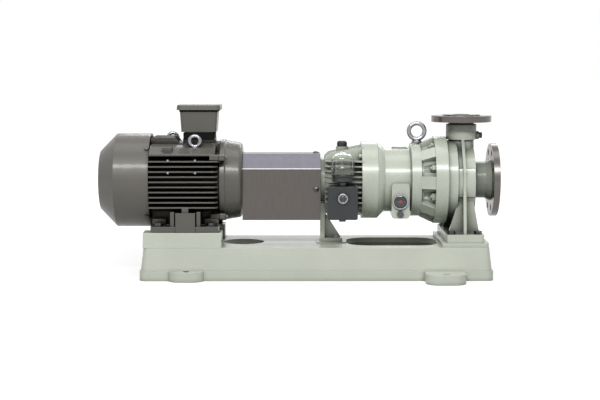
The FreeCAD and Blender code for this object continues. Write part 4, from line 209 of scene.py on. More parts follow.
class Maker:
    """Shader nodes of one material, with the detail that its surfaces share."""

    def __init__(self, name):
        self.material = bpy.data.materials.new(name)
        LOOKS[name] = self.material
        self.material.use_nodes = True
        self.tree = self.material.node_tree
        self.tree.nodes.clear()
        self.output = self.new("ShaderNodeOutputMaterial")
        self.bsdf = self.new("ShaderNodeBsdfPrincipled")
        self.link(self.bsdf.outputs["BSDF"], self.output.inputs["Surface"])
        self.place = self.new("ShaderNodeTexCoord").outputs["Object"]

    def new(self, kind, **settings):
        node = self.tree.nodes.new(kind)
        for key, setting in settings.items():
            setattr(node, key, setting)
        return node

    def link(self, start, end):
        self.tree.links.new(start, end)

    def axes(self):
        """The place's own X, Y and Z."""
        split = self.new("ShaderNodeSeparateXYZ")
        self.link(self.place, split.inputs[0])
        return split.outputs

    def math(self, operation, first, second=None):
        node = self.new("ShaderNodeMath", operation=operation)
        for socket, item in zip(node.inputs, (first, second)):
            if item is None:
                continue
            if isinstance(item, (int, float)):
                socket.default_value = item
            else:
                self.link(item, socket)
        return node.outputs[0]

    def stretch(self, scale):
        node = self.new("ShaderNodeMapping")
        node.inputs["Scale"].default_value = scale
        self.link(self.place, node.inputs["Vector"])
        return node.outputs[0]

    def noise(self, scale, detail=3, rough=0.5, source=None):
        node = self.new("ShaderNodeTexNoise")
        node.inputs["Scale"].default_value = scale
        node.inputs["Detail"].default_value = detail
        node.inputs["Roughness"].default_value = rough
        self.link(source or self.place, node.inputs["Vector"])
        return node.outputs["Fac"]

    def ranged(self, source, low, high, first=0.3, last=0.7):
        """Low where the source is at first or under it, high where it is at last or over it."""
        node = self.new("ShaderNodeMapRange")
        node.inputs["From Min"].default_value = first
        node.inputs["From Max"].default_value = last
        node.inputs["To Min"].default_value = low
        node.inputs["To Max"].default_value = high
        self.link(source, node.inputs["Value"])
        return node.outputs[0]

    def mix(self, amount, first, second):
        node = self.new("ShaderNodeMix", data_type="RGBA")
        self.link(amount, node.inputs["Factor"])
        for name, item in (("A", first), ("B", second)):
            socket = next(s for s in node.inputs if s.name == name and s.type == "RGBA")
            if isinstance(item, tuple):
                socket.default_value = (*item, 1)
            else:
                self.link(item, socket)
        return next(s for s in node.outputs if s.type == "RGBA")

    def lathe(self, axis, centre):
        """A place on a turned surface: along its axis and out from it, so lines run round it."""
        axes = self.axes()
        names = [name for name in "XYZ" if name != axis]
        squares = []
        for name, middle in zip(names, centre):
            away = self.math("SUBTRACT", axes[name], middle)
            squares.append(self.math("MULTIPLY", away, away))
        radius = self.math("SQRT", self.math("ADD", *squares))
        join = self.new("ShaderNodeCombineXYZ")
        self.link(axes[axis], join.inputs["X"])
        self.link(radius, join.inputs["Y"])
        return join.outputs[0]

    def rounded(self, radius):
        node = self.new("ShaderNodeBevel", samples=4)
        node.inputs["Radius"].default_value = radius
        return node.outputs[0]

    def edges(self, soft):
        """1 on flat ground, less across a rounded edge."""
        flat = self.new("ShaderNodeNewGeometry").outputs["Normal"]
        node = self.new("ShaderNodeVectorMath", operation="DOT_PRODUCT")
        self.link(soft, node.inputs[0])
        self.link(flat, node.inputs[1])
        return node.outputs["Value"]

    def hollow(self, distance):
        """1 in the open, less in corners and recesses."""
        node = self.new("ShaderNodeAmbientOcclusion", samples=6)
        node.inputs["Distance"].default_value = distance
        return node.outputs["AO"]

    def bump(self, height, depth, normal=None):
        node = self.new("ShaderNodeBump")
        node.inputs["Strength"].default_value = 1
        node.inputs["Distance"].default_value = depth
        self.link(height, node.inputs["Height"])
        if normal is not None:
            self.link(normal, node.inputs["Normal"])
        return node.outputs[0]

    def set(self, **values):
        for name, item in values.items():
            socket = self.bsdf.inputs[name.replace("_", " ").title().replace("Ior", "IOR")]
            if isinstance(item, tuple):
                socket.default_value = (*item, 1)
            elif isinstance(item, (int, float)):
                socket.default_value = item
            else:
                self.link(item, socket)
        return self.material


def shade(color, factor):
    """The colour made darker or paler."""
    return tuple(min(1, part * factor) for part in color)


def paint(name, color, roughness, cast=0.00010, edge_radius=0.0010, bare=None, gap=0.014, gap_tone=0.50,
          gap_start=0.25):
    """Sprayed enamel over a casting: orange peel, uneven tone, dirt and painted shade in corners, edges paler
    from wear and painted highlight.
    """
    m = Maker(name)
    clouds = m.ranged(m.noise(9, 4), 0, 1)
    tone = m.mix(clouds, shade(color, 0.95), shade(color, 1.05))
    specks = m.ranged(m.noise(420, 2), 0, 1, 0.62, 0.78)
    tone = m.mix(specks, tone, shade(color, 0.90))
    # Corners and recesses are darker, down to gap_tone: partly settled dirt, partly painted shade.
    dust_and_shade = m.ranged(m.hollow(gap), 0.95, 0, gap_start, 0.95)
    tone = m.mix(dust_and_shade, tone, shade(color, gap_tone))
    soft = m.rounded(edge_radius)
    # Rounded edges are paler: partly wear, partly painted highlight.
    worn_and_highlit = m.ranged(m.edges(soft), 0.55, 0, 0.80, 0.985)
    tone = m.mix(worn_and_highlit, tone, shade(color, 1.22))
    orange_peel = m.math("MULTIPLY", m.noise(620, 2), PEEL / RELIEF)
    cast_grain = m.math("MULTIPLY", m.noise(150, 4, 0.6), cast / RELIEF)
    normal = m.bump(m.math("ADD", orange_peel, cast_grain), RELIEF, soft)
    rough = m.ranged(m.noise(34, 4), roughness - 0.05, roughness + 0.07)
    metallic = 0
    if bare:
        find_bare, find_lines = bare
        marks = m.ranged(m.noise(900, 2, source=find_lines(m)), 0, 1)
        steel = m.mix(marks, shade(FLANGE_STEEL, 0.70), shade(FLANGE_STEEL, 1.20))
        metallic = find_bare(m)
        tone = m.mix(metallic, tone, steel)
        painted_rough = m.math("MULTIPLY", m.math("SUBTRACT", 1, metallic), rough)
        rough = m.math("ADD", painted_rough, m.math("MULTIPLY", metallic, 0.27))
    # Less coat and shine where the dirt and painted shade lie.
    clean_and_unshaded = m.math("SUBTRACT", 1, dust_and_shade)
    return m.set(base_color=tone, roughness=rough, metallic=metallic, normal=normal,
                 coat_weight=m.math("MULTIPLY", clean_and_unshaded, 0.25), coat_roughness=0.12,
                 specular_ior_level=m.math("MULTIPLY", clean_and_unshaded, 0.5))


def metal(name, color, roughness, lines=None, line_scale=900, depth=0.00003, spread=0.22):
    """Bare metal whose fine tool marks run the way lines gives."""
    m = Maker(name)
    source = lines(m) if lines else None
    marks = m.noise(line_scale, 3, 0.6, source)
    tone = m.mix(m.ranged(marks, 0, 1), shade(color, 1 - spread), shade(color, 1 + spread))
    patches = m.ranged(m.noise(22, 3), 0, 0.5, 0.40, 0.75)
    tone = m.mix(patches, tone, shade(color, 0.80))
    # Painted shade: the colour darkens in corners and recesses.
    recess_shade = m.ranged(m.hollow(0.010), 0.8, 0, 0.2, 0.9)
    tone = m.mix(recess_shade, tone, shade(color, 0.25))
    rough = m.ranged(marks, roughness - 0.05, roughness + 0.09)
    normal = m.bump(marks, depth, m.rounded(FINE_EDGE))
    return m.set(base_color=tone, metallic=1, roughness=rough, normal=normal)


def plastic(name, color, roughness, grain=900, depth=0.00004, coat=0.0, shine=0.5):
    """Moulded or sintered stuff with a fine even grain."""
    m = Maker(name)
    fine = m.noise(grain, 2)
    tone = m.mix(m.ranged(m.noise(60, 3), 0, 1), shade(color, 0.85), shade(color, 1.25))
    rough = m.ranged(fine, roughness - 0.06, roughness + 0.08)
    normal = m.bump(fine, depth, m.rounded(FINE_EDGE))
    return m.set(base_color=tone, roughness=rough, normal=normal, coat_weight=coat, specular_ior_level=shine)


def glass(name, color):
    """Clear moulded glass with faint waves."""
    m = Maker(name)
    waves = m.noise(45, 2)
    tone = m.mix(m.ranged(waves, 0, 1), shade(color, 0.97), color)
    return m.set(base_color=tone, roughness=0.02, transmission_weight=1.0, ior=1.47,
                 normal=m.bump(waves, 0.00002))


def oil(name):
    """Pale lubricating oil, a little cloudy."""
    m = Maker(name)
    tone = m.mix(m.ranged(m.noise(40, 2), 0, 1), OIL_DARK, OIL_PALE)
    return m.set(base_color=tone, roughness=0.06, transmission_weight=0.80, ior=1.46)


def on_shaft(m):
    """Lines that run round the shaft."""
    return m.lathe("X", (0, AXIS_Z))


def brushed_upright(m):
    """Lines that run up and across the guard."""
    return m.stretch((1, 0.02, 0.012))


def stacked(m):
    """Lines between the thin plates of a stator or rotor."""
    return m.stretch((1, 0.02, 0.02))


def flange_mask(m):
    """1 on both machined flanges of the casing, which are left unpainted."""
    axes = m.axes()
    suction = m.math("GREATER_THAN", axes["X"], SUCTION_BARE_X)
    discharge = m.math("GREATER_THAN", axes["Z"], DISCHARGE_BARE_Z)
    return m.math("MAXIMUM", suction, discharge)


def flange_lines(m):
    """Turning marks round each flange's own axis."""
    discharge = m.math("GREATER_THAN", m.axes()["Z"], DISCHARGE_BARE_Z)
    node = m.new("ShaderNodeMix", data_type="VECTOR")
    m.link(discharge, node.inputs["Factor"])
    vectors = [s for s in node.inputs if s.type == "VECTOR"]
    m.link(on_shaft(m), vectors[0])
    m.link(m.lathe("Z", (DISCHARGE_X, 0)), vectors[1])
    return next(s for s in node.outputs if s.type == "VECTOR")


def guard_sheet(name):
    """Brushed stainless sheet; a plain pale film covers the near upper fold, with a painted highlight along
    its lower edge.
    """
    m = Maker(name)
    marks = m.noise(1400, 3, 0.6, brushed_upright(m))
    tone = m.mix(m.ranged(marks, 0, 1), shade(STAINLESS, 0.88), shade(STAINLESS, 1.12))
    axes = m.axes()
    near = m.math("LESS_THAN", axes["Y"], -FILM_INNER)
    above = m.math("GREATER_THAN", axes["Z"], GUARD_FOLD_Z)
    film = m.math("MULTIPLY", near, above)
    film_tone = m.mix(m.ranged(m.noise(70, 3), 0, 1), shade(FILM, 0.93), shade(FILM, 1.06))
    tone = m.mix(film, tone, film_tone)
    # Painted highlight: a bright line along the fold, at the film's lower edge.
    edge = m.math("LESS_THAN", axes["Z"], GUARD_FOLD_Z + FOLD_HIGHLIGHT_WIDTH)
    tone = m.mix(m.math("MULTIPLY", film, edge), tone, FOLD_HIGHLIGHT)
    bare = m.math("SUBTRACT", 1, film)
    rough = m.math("ADD", m.ranged(marks, 0.25, 0.39), m.math("MULTIPLY", film, 0.08))
    normal = m.bump(marks, 0.00003, m.rounded(FINE_EDGE))
    return m.set(base_color=tone, metallic=bare, roughness=rough, normal=normal)


def windings(name):
    """Bundled varnished wire, its turns running round the shaft."""
    m = Maker(name)
    strands = m.noise(260, 3, 0.7, on_shaft(m))
    tone = m.mix(m.ranged(strands, 0, 1), shade(COPPER, 0.45), shade(COPPER, 1.2))
    return m.set(base_color=tone, metallic=0.7, roughness=0.42, normal=m.bump(strands, 0.0006))


def dress_nodes():
    """Give every CAD piece its material."""
    looks = {
        paint("base_enamel", BASE_GREEN, 0.34, cast=0.00016, edge_radius=0.0022): ["baseplate"],
        paint("pump_enamel", PUMP_GREEN, 0.26, gap=0.030, gap_tone=0.30): [
            "bearing_bracket", "bearing_cover", "support_foot", "lantern", "bracket_bolts", "support_bolts",
            "casing_studs_and_nuts"],
        # The casing darkens far out from its corners: painted shade under the discharge flange and below the
        # casing.
        paint("casing_enamel", shade(PUMP_GREEN, 1.05), 0.26, bare=(flange_mask, flange_lines), gap=0.10,
              gap_tone=0.12): ["volute_casing"],
        # The motor's frame goes near black between its fins: painted shade.
        paint("motor_enamel", MOTOR_GREY, 0.36, gap=0.040, gap_tone=0.05, gap_start=0.45): [
            "motor_frame", "end_shield_fan"],
        paint("smooth_enamel", MOTOR_GREY, 0.36, gap_tone=0.30): [
            "end_shield_drive", "terminal_box", "terminal_box_lid"],
        paint("cover_enamel", shade(MOTOR_GREY, 1.15), 0.42, cast=0.00001): ["fan_cover"],
        paint("fixing_enamel", FIXING_GREY, 0.38, cast=0.00002): ["end_shield_bolts"],
        paint("oiler_enamel", OILER_BLUE, 0.38, cast=0.00006): ["oiler_block"],
        guard_sheet("stainless_sheet"): ["coupling_guard", "guard_bracket"],
        metal("turned_steel", MACHINED, 0.24, on_shaft): [
            "motor_shaft", "drive_shaft", "pump_shaft", "outer_magnet_carrier", "inner_magnet_rotor",
            "impeller", "impeller_nut", "containment_shell", "casing_cover", "wear_ring", "motor_shaft_key",
            "pump_shaft_key"],
        metal("turned_iron", IRON, 0.38, on_shaft, line_scale=600): [
            "motor_coupling_hub", "pump_coupling_hub"],
        metal("ground_steel", shade(MACHINED, 1.6), 0.12, on_shaft, line_scale=2200, depth=0.00001,
              spread=0.06): ["bearing_outer_rings", "motor_bearing_inner_rings", "drive_bearing_inner_rings"],
        metal("zinc_plate", ZINC, 0.20, line_scale=240, depth=0.00004, spread=0.12): [
            "motor_lifting_eyes", "pump_lifting_eye", "leak_sight_window", "oiler_sight_plug"],
        metal("dulled_zinc", shade(ZINC, 0.30), 0.34, line_scale=240, depth=0.00004, spread=0.20): [
            "foot_bolts", "guard_screws", "threaded_plugs", "fan_cover_screws"],
        metal("stacked_steel", LAMINATION, 0.42, stacked, line_scale=1600, depth=0.00008, spread=0.35): [
            "stator_core", "rotor_core"],
        windings("wound_copper"): ["stator_windings"],
        metal("plated_magnet", MAGNET, 0.18, line_scale=300, spread=0.10): ["outer_magnets", "inner_magnets"],
        plastic("sintered_ceramic", CERAMIC, 0.14, grain=1600, depth=0.00001, coat=0.4): [
            "bearing_bushes", "shaft_sleeves"],
        plastic("spider_elastomer", SPIDER_RED, 0.48): ["coupling_spider"],
        plastic("seal_rubber", shade(RUBBER, 0.35), 0.60, shine=0.06): ["lip_seal", "casing_gasket"],
        plastic("black_moulding", BLACK, 0.36, grain=1200): [
            "cooling_fan", "terminal_block", "cable_entry_plugs", "breather_cap"],
        plastic("collar_moulding", shade(BLACK, 1.6), 0.25, grain=1200, depth=0.00003, coat=0.3): [
            "oiler_collar"],
        glass("bottle_glass", CLEAR_GLASS): ["oiler_bottle"],
    }
    for material, names in looks.items():
        for name in names:
            data = NODES[name].data
            data.materials.clear()
            data.materials.append(material)


def piece(name, bm, material, body="root", replaces=None, smooth=30, bevel=0):
    """A named piece of the scene, in place, on its body and with its finish."""
    mesh = to_mesh(name, bm)
    item = bpy.data.objects.new(name, mesh)
    bpy.context.scene.collection.objects.link(item)
    mesh.materials.append(material)
    for face in mesh.polygons:
        face.use_smooth = True
    mesh.set_sharp_from_angle(angle=math.radians(smooth))
    if bevel:
        modifier = item.modifiers.new("edges", "BEVEL")
        modifier.width = bevel
        modifier.segments = 2
        modifier.limit_method = "ANGLE"
        modifier.angle_limit = math.radians(35)
    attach(item, body)
    if replaces:
        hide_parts(replaces)


def to_mesh(name, bm):
    """The finished mesh, its doubled points joined and its faces looking outwards."""
    bmesh.ops.remove_doubles(bm, verts=bm.verts, dist=1e-7)
    bmesh.ops.recalc_face_normals(bm, faces=bm.faces)
    mesh = bpy.data.meshes.new(name)
    bm.to_mesh(mesh)
    bm.free()
    return mesh


def at(x, y, height):
    """A matrix that puts a shape at a place whose height is counted from the shaft line."""
    return Matrix.Translation((x, y, AXIS_Z + height))


def facing(direction, place):
    """A matrix that puts a shape made along +Z at a place, looking along a direction."""
    turn = Vector((0, 0, 1)).rotation_difference(Vector(direction)).to_matrix().to_4x4()
    return Matrix.Translation(place) @ turn


def add_turned(bm, profile, matrix, sides=48):
    """A closed ring section (radius, height) turned about +Z; points on the axis are joined to one."""
    rings = []
    for radius, height in profile:
        if radius == 0:
            rings.append([bm.verts.new(matrix @ Vector((0, 0, height)))])
            continue
        ring = []
        for step in range(sides):
            angle = 2 * math.pi * step / sides
            spot = Vector((radius * math.cos(angle), radius * math.sin(angle), height))
            ring.append(bm.verts.new(matrix @ spot))
        rings.append(ring)
    count = len(rings)
    closed = profile[0][0] != 0 or profile[-1][0] != 0
    for index in range(count if closed else count - 1):
        first, second = rings[index], rings[(index + 1) % count]
        for step in range(sides):
            after = (step + 1) % sides
            corners = [first[step % len(first)], first[after % len(first)], second[after % len(second)],
                       second[step % len(second)]]
            unique = list(dict.fromkeys(corners))
            if len(unique) > 2:
                bm.faces.new(unique)


def add_torus(bm, ring, wire, matrix, sides=56, around=16):
    """A round ring whose hole looks along +Z."""
    rows = []
    for step in range(sides):
        angle = 2 * math.pi * step / sides
        out = Vector((math.cos(angle), math.sin(angle), 0))
        row = []
        for part in range(around):
            turn = 2 * math.pi * part / around
            spot = out * (ring + wire * math.cos(turn)) + Vector((0, 0, wire * math.sin(turn)))
            row.append(bm.verts.new(matrix @ spot))
        rows.append(row)
    for step in range(sides):
        for part in range(around):
            bm.faces.new([rows[step][part], rows[(step + 1) % sides][part],
                          rows[(step + 1) % sides][(part + 1) % around], rows[step][(part + 1) % around]])


def add_prism(bm, corners, low, high, matrix):
    """A flat outline raised from low to high along +Z."""
    bottom = [bm.verts.new(matrix @ Vector((x, y, low))) for x, y in corners]
    top = [bm.verts.new(matrix @ Vector((x, y, high))) for x, y in corners]
    bm.faces.new(list(reversed(bottom)))
    bm.faces.new(top)
    for index in range(len(corners)):
        after = (index + 1) % len(corners)
        bm.faces.new([bottom[index], bottom[after], top[after], top[index]])


def add_bar(bm, low, high):
    """A square-cornered bar between two corners, whose heights are counted from the shaft line."""
    corners = [(low[0], low[1]), (high[0], low[1]), (high[0], high[1]), (low[0], high[1])]
    add_prism(bm, corners, low[2], high[2], at(0, 0, 0))


def rounded_box(half_x, half_y, radius, steps=5):
    """The outline of a rectangle with rounded corners."""
    points = []
    for corner in range(4):
        sign_x = 1 if corner in (0, 3) else -1
        sign_y = 1 if corner < 2 else -1
        for step in range(steps + 1):
            angle = math.pi / 2 * (corner + step / steps)
            points.append((sign_x * (half_x - radius) + radius * math.cos(angle),
                           sign_y * (half_y - radius) + radius * math.sin(angle)))
    return points


def hexagon(radius):
    """The outline of a hexagon head."""
    angles = [math.pi / 3 * side for side in range(6)]
    return [(radius * math.cos(angle), radius * math.sin(angle)) for angle in angles]


def name_plate(looks):
    """The blank plate on the barrel with its four rivets."""
    bm = bmesh.new()
    add_prism(bm, rounded_box(0.019, 0.0125, 0.002), 0, 0.0008, at(PLATE_X, 0, LANTERN_TOP))
    rivet = [(0, 0.0018), (0.0009, 0.0016), (0.0014, 0.0010), (0.0014, 0.0004), (0, 0.0004)]
    for x in (-0.0165, 0.0165):
        for y in (-0.0100, 0.0100):
            add_turned(bm, rivet, at(PLATE_X + x, y, LANTERN_TOP), 16)
    piece("name_plate", bm, looks["stainless_sheet"], bevel=0.0002)


def leak_window():
    """The domed glass of the leak window and the red float behind its middle."""
    matrix = facing(NEAR_SIDE, LEAK_WINDOW)
    bm = bmesh.new()
    add_turned(bm, [(0, 0.0031), (0.006, 0.0029), (0.011, 0.0023), (0.0155, 0.0012), (0.0172, 0.0003),
                    (0.0172, 0.0001), (0, 0.0001)], matrix)
    dark = plastic("window_dark", WINDOW_BLACK, 0.08, grain=300, depth=0.000005, coat=1.0)
    piece("leak_window_glass", bm, dark)
    bm = bmesh.new()
    add_turned(bm, [(0, 0.0038), (0.0026, 0.0036), (0.0042, 0.0031), (0.0045, 0.0022), (0, 0.0022)],
               matrix, 32)
    red = plastic("float_red", FLOAT_RED, 0.2, grain=400, depth=0.00001, coat=0.8)
    piece("leak_window_float", bm, red)


def oiler_block(looks):
    """The oiler's block with the low pad on its top."""
    bm = bmesh.new()
    add_prism(bm, rounded_box(0.040, 0.044, 0.005), BLOCK_FAR, BLOCK_NEAR,
              at(OILER_X, 0, BLOCK_MIDDLE) @ ALONG_Y)
    add_prism(bm, rounded_box(0.034, 0.0245, 0.004), NECK_LOW, NECK_LOW + 0.002, at(OILER_X, OILER_Y, 0))
    piece("oiler_block_cast", bm, looks["oiler_enamel"], replaces="oiler_block",
          bevel=0.0014)


def oiler_collar(looks):
    """The thin neck above the block and the ribbed collar that takes the bottle."""
    middle = at(OILER_X, OILER_Y, 0)
    low, high = COLLAR_LOW, COLLAR_HIGH
    bm = bmesh.new()
    add_turned(bm, [(OILER_BORE, NECK_LOW), (0.0100, NECK_LOW), (0.0100, low - 0.0025), (0.0130, low),
                    (0.0262, low), (0.0278, low + 0.0014), (0.0278, low + 0.0050), (0.0270, low + 0.0056),
                    (0.0270, high - 0.0056), (0.0278, high - 0.0050), (0.0290, high - 0.0036),
                    (0.0290, high - 0.0010), (0.0280, high), (OILER_BORE, high)], middle, 72)
    for step in range(COLLAR_RIBS):
        turn = Matrix.Rotation(2 * math.pi * step / COLLAR_RIBS, 4, "Z")
        rib = middle @ turn @ Matrix.Translation((0.0270, 0, 0))
        add_prism(bm, rounded_box(0.0012, 0.0011, 0.0005, 2), low + 0.0052, high - 0.0052, rib)
    piece("oiler_collar_ribbed", bm, looks["collar_moulding"], replaces="oiler_collar")


def oiler_bottle(looks):
    """The moulded bottle with round shoulders."""
    outer = shoulder(BOTTLE_RADIUS, BOTTLE_CORNER, BOTTLE_TOP)
    inner = shoulder(BOTTLE_RADIUS - BOTTLE_WALL, BOTTLE_CORNER - BOTTLE_WALL, BOTTLE_TOP - BOTTLE_WALL)
    floor_top = BOTTLE_LOW + BOTTLE_WALL
    bm = bmesh.new()
    add_turned(bm, [(OILER_BORE, BOTTLE_LOW), (BOTTLE_RADIUS, BOTTLE_LOW)] + outer + list(reversed(inner))
               + [(BOTTLE_RADIUS - BOTTLE_WALL, floor_top), (OILER_BORE, floor_top)],
               at(OILER_X, OILER_Y, 0), 72)
    piece("oiler_bottle_moulded", bm, looks["bottle_glass"], body="oiler_bottle",
          replaces="oiler_bottle", smooth=50)


def shoulder(radius, corner, top, steps=8):
    """The points of a bottle's wall from its straight side over the round shoulder to its crown."""
    points = []
    for step in range(steps + 1):
        angle = math.pi / 2 * step / steps
        points.append((radius - corner + corner * math.cos(angle),
                       top - CROWN_RISE - corner + corner * math.sin(angle)))
    return points + [(radius * 0.22, top - 0.0004), (OILER_BORE, top)]


def bottle_oil():
    """The oil, which creeps up a little where it meets the glass."""
    low = BOTTLE_LOW + BOTTLE_WALL + 0.0002
    bm = bmesh.new()
    add_turned(bm, [(0, low), (0.0264, low), (0.0264, OIL_LEVEL + 0.0006), (0.0258, OIL_LEVEL),
                    (0, OIL_LEVEL)], at(OILER_X, OILER_Y, 0))
    piece("bottle_oil", bm, oil("oil"), body="oiler_bottle")


def oiler_float():
    """The float dish just above the oil."""
    bm = bmesh.new()
    add_turned(bm, [(0.0050, OIL_LEVEL + 0.0012), (0.0225, OIL_LEVEL + 0.0012), (0.0242, OIL_LEVEL + 0.0040),
                    (0.0225, OIL_LEVEL + 0.0082), (0.0190, OIL_LEVEL + 0.0096), (0.0050, OIL_LEVEL + 0.0060)],
               at(OILER_X, OILER_Y, 0))
    dish = plastic("float_grey", FLOAT_GREY, 0.3, grain=600, depth=0.00001, coat=0.3)
    piece("oiler_float", bm, dish, body="oiler_bottle")


def oiler_bail(looks):
    """The thin wire loop over the glass, a curve that ends on both sides at the bottle's foot."""
    curve = bpy.data.curves.new("oiler_bail", "CURVE")
    curve.dimensions = "3D"
    curve.bevel_depth = 0.0007
    curve.bevel_resolution = 3
    curve.use_fill_caps = True
    half = 0.0302
    foot = AXIS_Z + COLLAR_HIGH + 0.0015
    top = AXIS_Z + BOTTLE_TOP + 0.0008
    side = [(half, foot), (half, foot + 0.030), (half, top - 0.022), (half * 0.75, top - 0.004)]
    points = [(-x, z) for x, z in side] + [(0, top + 0.0015)] + list(reversed(side))
    spline = curve.splines.new("NURBS")
    spline.points.add(len(points) - 1)
    for spot, (x, z) in zip(spline.points, points):
        spot.co = (OILER_X + x, OILER_Y, z, 1)
    spline.order_u = 4
    spline.use_endpoint_u = True
    spline.resolution_u = 12
    item = bpy.data.objects.new("oiler_bail", curve)
    bpy.context.scene.collection.objects.link(item)
    curve.materials.append(looks["zinc_plate"])
    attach(item, "oiler_bottle")


def oiler_sight(looks):
    """The sight plug's bright ring, and the dark six-sided nut that stands in its well."""
    matrix = facing(NEAR_SIDE, (OILER_X, -BLOCK_NEAR, AXIS_Z - 0.039))
    bm = bmesh.new()
    add_turned(bm, [(0.0125, 0), (0.0140, 0.0008), (0.0140, 0.0042), (0.0128, 0.0056), (0.0102, 0.0056),
                    (0.0092, 0.0044), (0.0092, 0.0008), (0, 0.0008), (0, 0)], matrix)
    piece("oiler_sight_ring", bm, looks["zinc_plate"], replaces="oiler_sight_plug")
    bm = bmesh.new()
    add_turned(bm, [(0, 0.0046), (0.0030, 0.0046), (0.0034, 0.0022), (0.0060, 0.0022), (0.0078, 0.0016),
                    (0.0090, 0.0009), (0, 0.0009)], matrix, 6)
    piece("oiler_sight_nut", bm, looks["dulled_zinc"], bevel=0.0004)


def add_eye(bm, place, ring, wire, collar_radius, collar_low):
    """A forged eye: a round ring, the neck under it and the collar that it stands on."""
    add_torus(bm, ring, wire, facing((0, 1, 0), place))
    low = collar_low - place.z
    neck = -ring - wire * 0.2
    add_turned(bm, [(0, low), (collar_radius - 0.001, low), (collar_radius, low + 0.001),
                    (collar_radius, low + 0.005), (collar_radius - 0.001, low + 0.006),
                    (wire * 1.45, low + 0.0068), (wire * 1.05, neck), (0, neck)],
               Matrix.Translation(place), 40)


def lifting_eyes(looks):
    """The forged eyes of the pump and the motor."""
    bm = bmesh.new()
    add_eye(bm, Vector((0.2775, 0, AXIS_Z + 0.134)), ring=0.0215, wire=0.0062, collar_radius=0.014,
            collar_low=AXIS_Z + 0.102)
    piece("pump_eye_forged", bm, looks["zinc_plate"], replaces="pump_lifting_eye")
    bm = bmesh.new()
    for x, y in MOTOR_EYES:
        add_eye(bm, Vector((x, y, AXIS_Z + 0.111)), ring=0.014, wire=0.005, collar_radius=0.011,
                collar_low=AXIS_Z + 0.088)
    piece("motor_eyes_forged", bm, looks["zinc_plate"], replaces="motor_lifting_eyes")


def lid_screws(looks):
    """Cross-head screws in the corners of the terminal box lid."""
    head = [(0, 0.0022), (0.0014, 0.0022), (0.0016, 0.0030), (0.0030, 0.0026), (0.0037, 0.0016), (0.0037, 0),
            (0, 0)]
    slit = [(-0.0026, -0.0004), (0.0026, -0.0004), (0.0026, 0.0004), (-0.0026, 0.0004)]
    bm = bmesh.new()
    for x in (BOX_X - LID_SCREW, BOX_X + LID_SCREW):
        for y in (-LID_SCREW, LID_SCREW):
            spot = at(x, y, LID_TOP)
            add_turned(bm, head, spot, 24)
            for turn in (0, 90):
                add_prism(bm, slit, 0.0010, 0.0031, spot @ Matrix.Rotation(math.radians(turn), 4, "Z"))
    piece("terminal_lid_screws", bm, looks["zinc_plate"])


def motor_casting(looks):
    """The motor's frame: barrel, fins, shoulders, feet, lugs and the bosses under the eyes."""
    rear, front = FRAME_REAR, SHIELD_REAR
    bm = bmesh.new()
    add_turned(bm, [(BARREL_BORE, rear), (BARREL_RADIUS, rear), (BARREL_RADIUS, front), (BARREL_BORE, front)],
               SHAFT, 96)
    for row in range(FIN_COUNT):
        side_fins(bm, row)
        upright_fins(bm, row)
    slope = ((0.060, 0.100), (0.074, 0.101), (0.102, 0.090), (0.1275, 0.0785), (0.1275, 0.0735),
             (0.085, 0.0700))
    for sign in (-1, 1):
        add_prism(bm, [(sign * y, z) for y, z in slope], rear + 0.003, front - 0.010, SHAFT)
        motor_foot(bm, sign)
        add_lugs(bm, sign, front - 0.024, front)
    add_prism(bm, rounded_box(0.0125, 0.009, 0.002), 0.085, 0.1165, at(-0.3992, 0, 0.0868) @ ALONG_Y)
    add_prism(bm, rounded_box(0.044, 0.042, 0.008), 0.095, 0.1162, at(BOX_X, 0, 0))
    for x, y in MOTOR_EYES:
        add_turned(bm, [(0, 0.060), (0.0145, 0.060), (0.013, 0.087), (0.012, 0.0879), (0, 0.0879)],
                   at(x, y, 0), 32)
    piece("motor_frame_cast", bm, looks["motor_enamel"], replaces="motor_frame",
          bevel=0.0009)


def side_fins(bm, row):
    """One level fin on each side of the frame, with its front corner clipped; the top one is the longest."""
    height = SIDE_FIN_TOP - row * SIDE_FIN_SPACING
    rear = FRAME_REAR + 0.001
    front = SHIELD_REAR - (0.012 if row else 0.004)
    plan = [(rear, 0.09), (rear, FIN_REACH), (front, FIN_REACH), (front + 0.009, 0.120),
            (front + 0.009, 0.09)]
    for sign in (-1, 1):
        corners = [(x, sign * y) for x, y in plan]
        add_prism(bm, corners, height - SIDE_FIN_HALF, height + SIDE_FIN_HALF, at(0, 0, 0))


def upright_fins(bm, row):
    """One fin above the barrel, lower under the terminal box, and one below it; the outer two are low."""
    rear, front = FRAME_REAR, SHIELD_REAR
    across = (row - (FIN_COUNT - 1) / 2) * TOP_FIN_SPACING
    high = 0.103 if row in (0, FIN_COUNT - 1) else TOP_FIN_HEIGHT
    step = min(high, TOP_FIN_STEP)
    above = [(rear + 0.002, 0.07), (rear + 0.002, high - 0.004), (rear + 0.008, high),
             (BOX_REAR - 0.012, high), (BOX_REAR, step), (front - 0.006, step), (front - 0.002, 0.07)]
    below = [(rear + 0.006, -0.08), (front - 0.006, -0.08), (front - 0.006, -0.114), (rear + 0.006, -0.114)]
    for profile, half in ((above, TOP_FIN_HALF), (below, LOW_FIN_HALF)):
        add_prism(bm, profile, across - half, across + half, at(0, 0, 0) @ ALONG_Y)


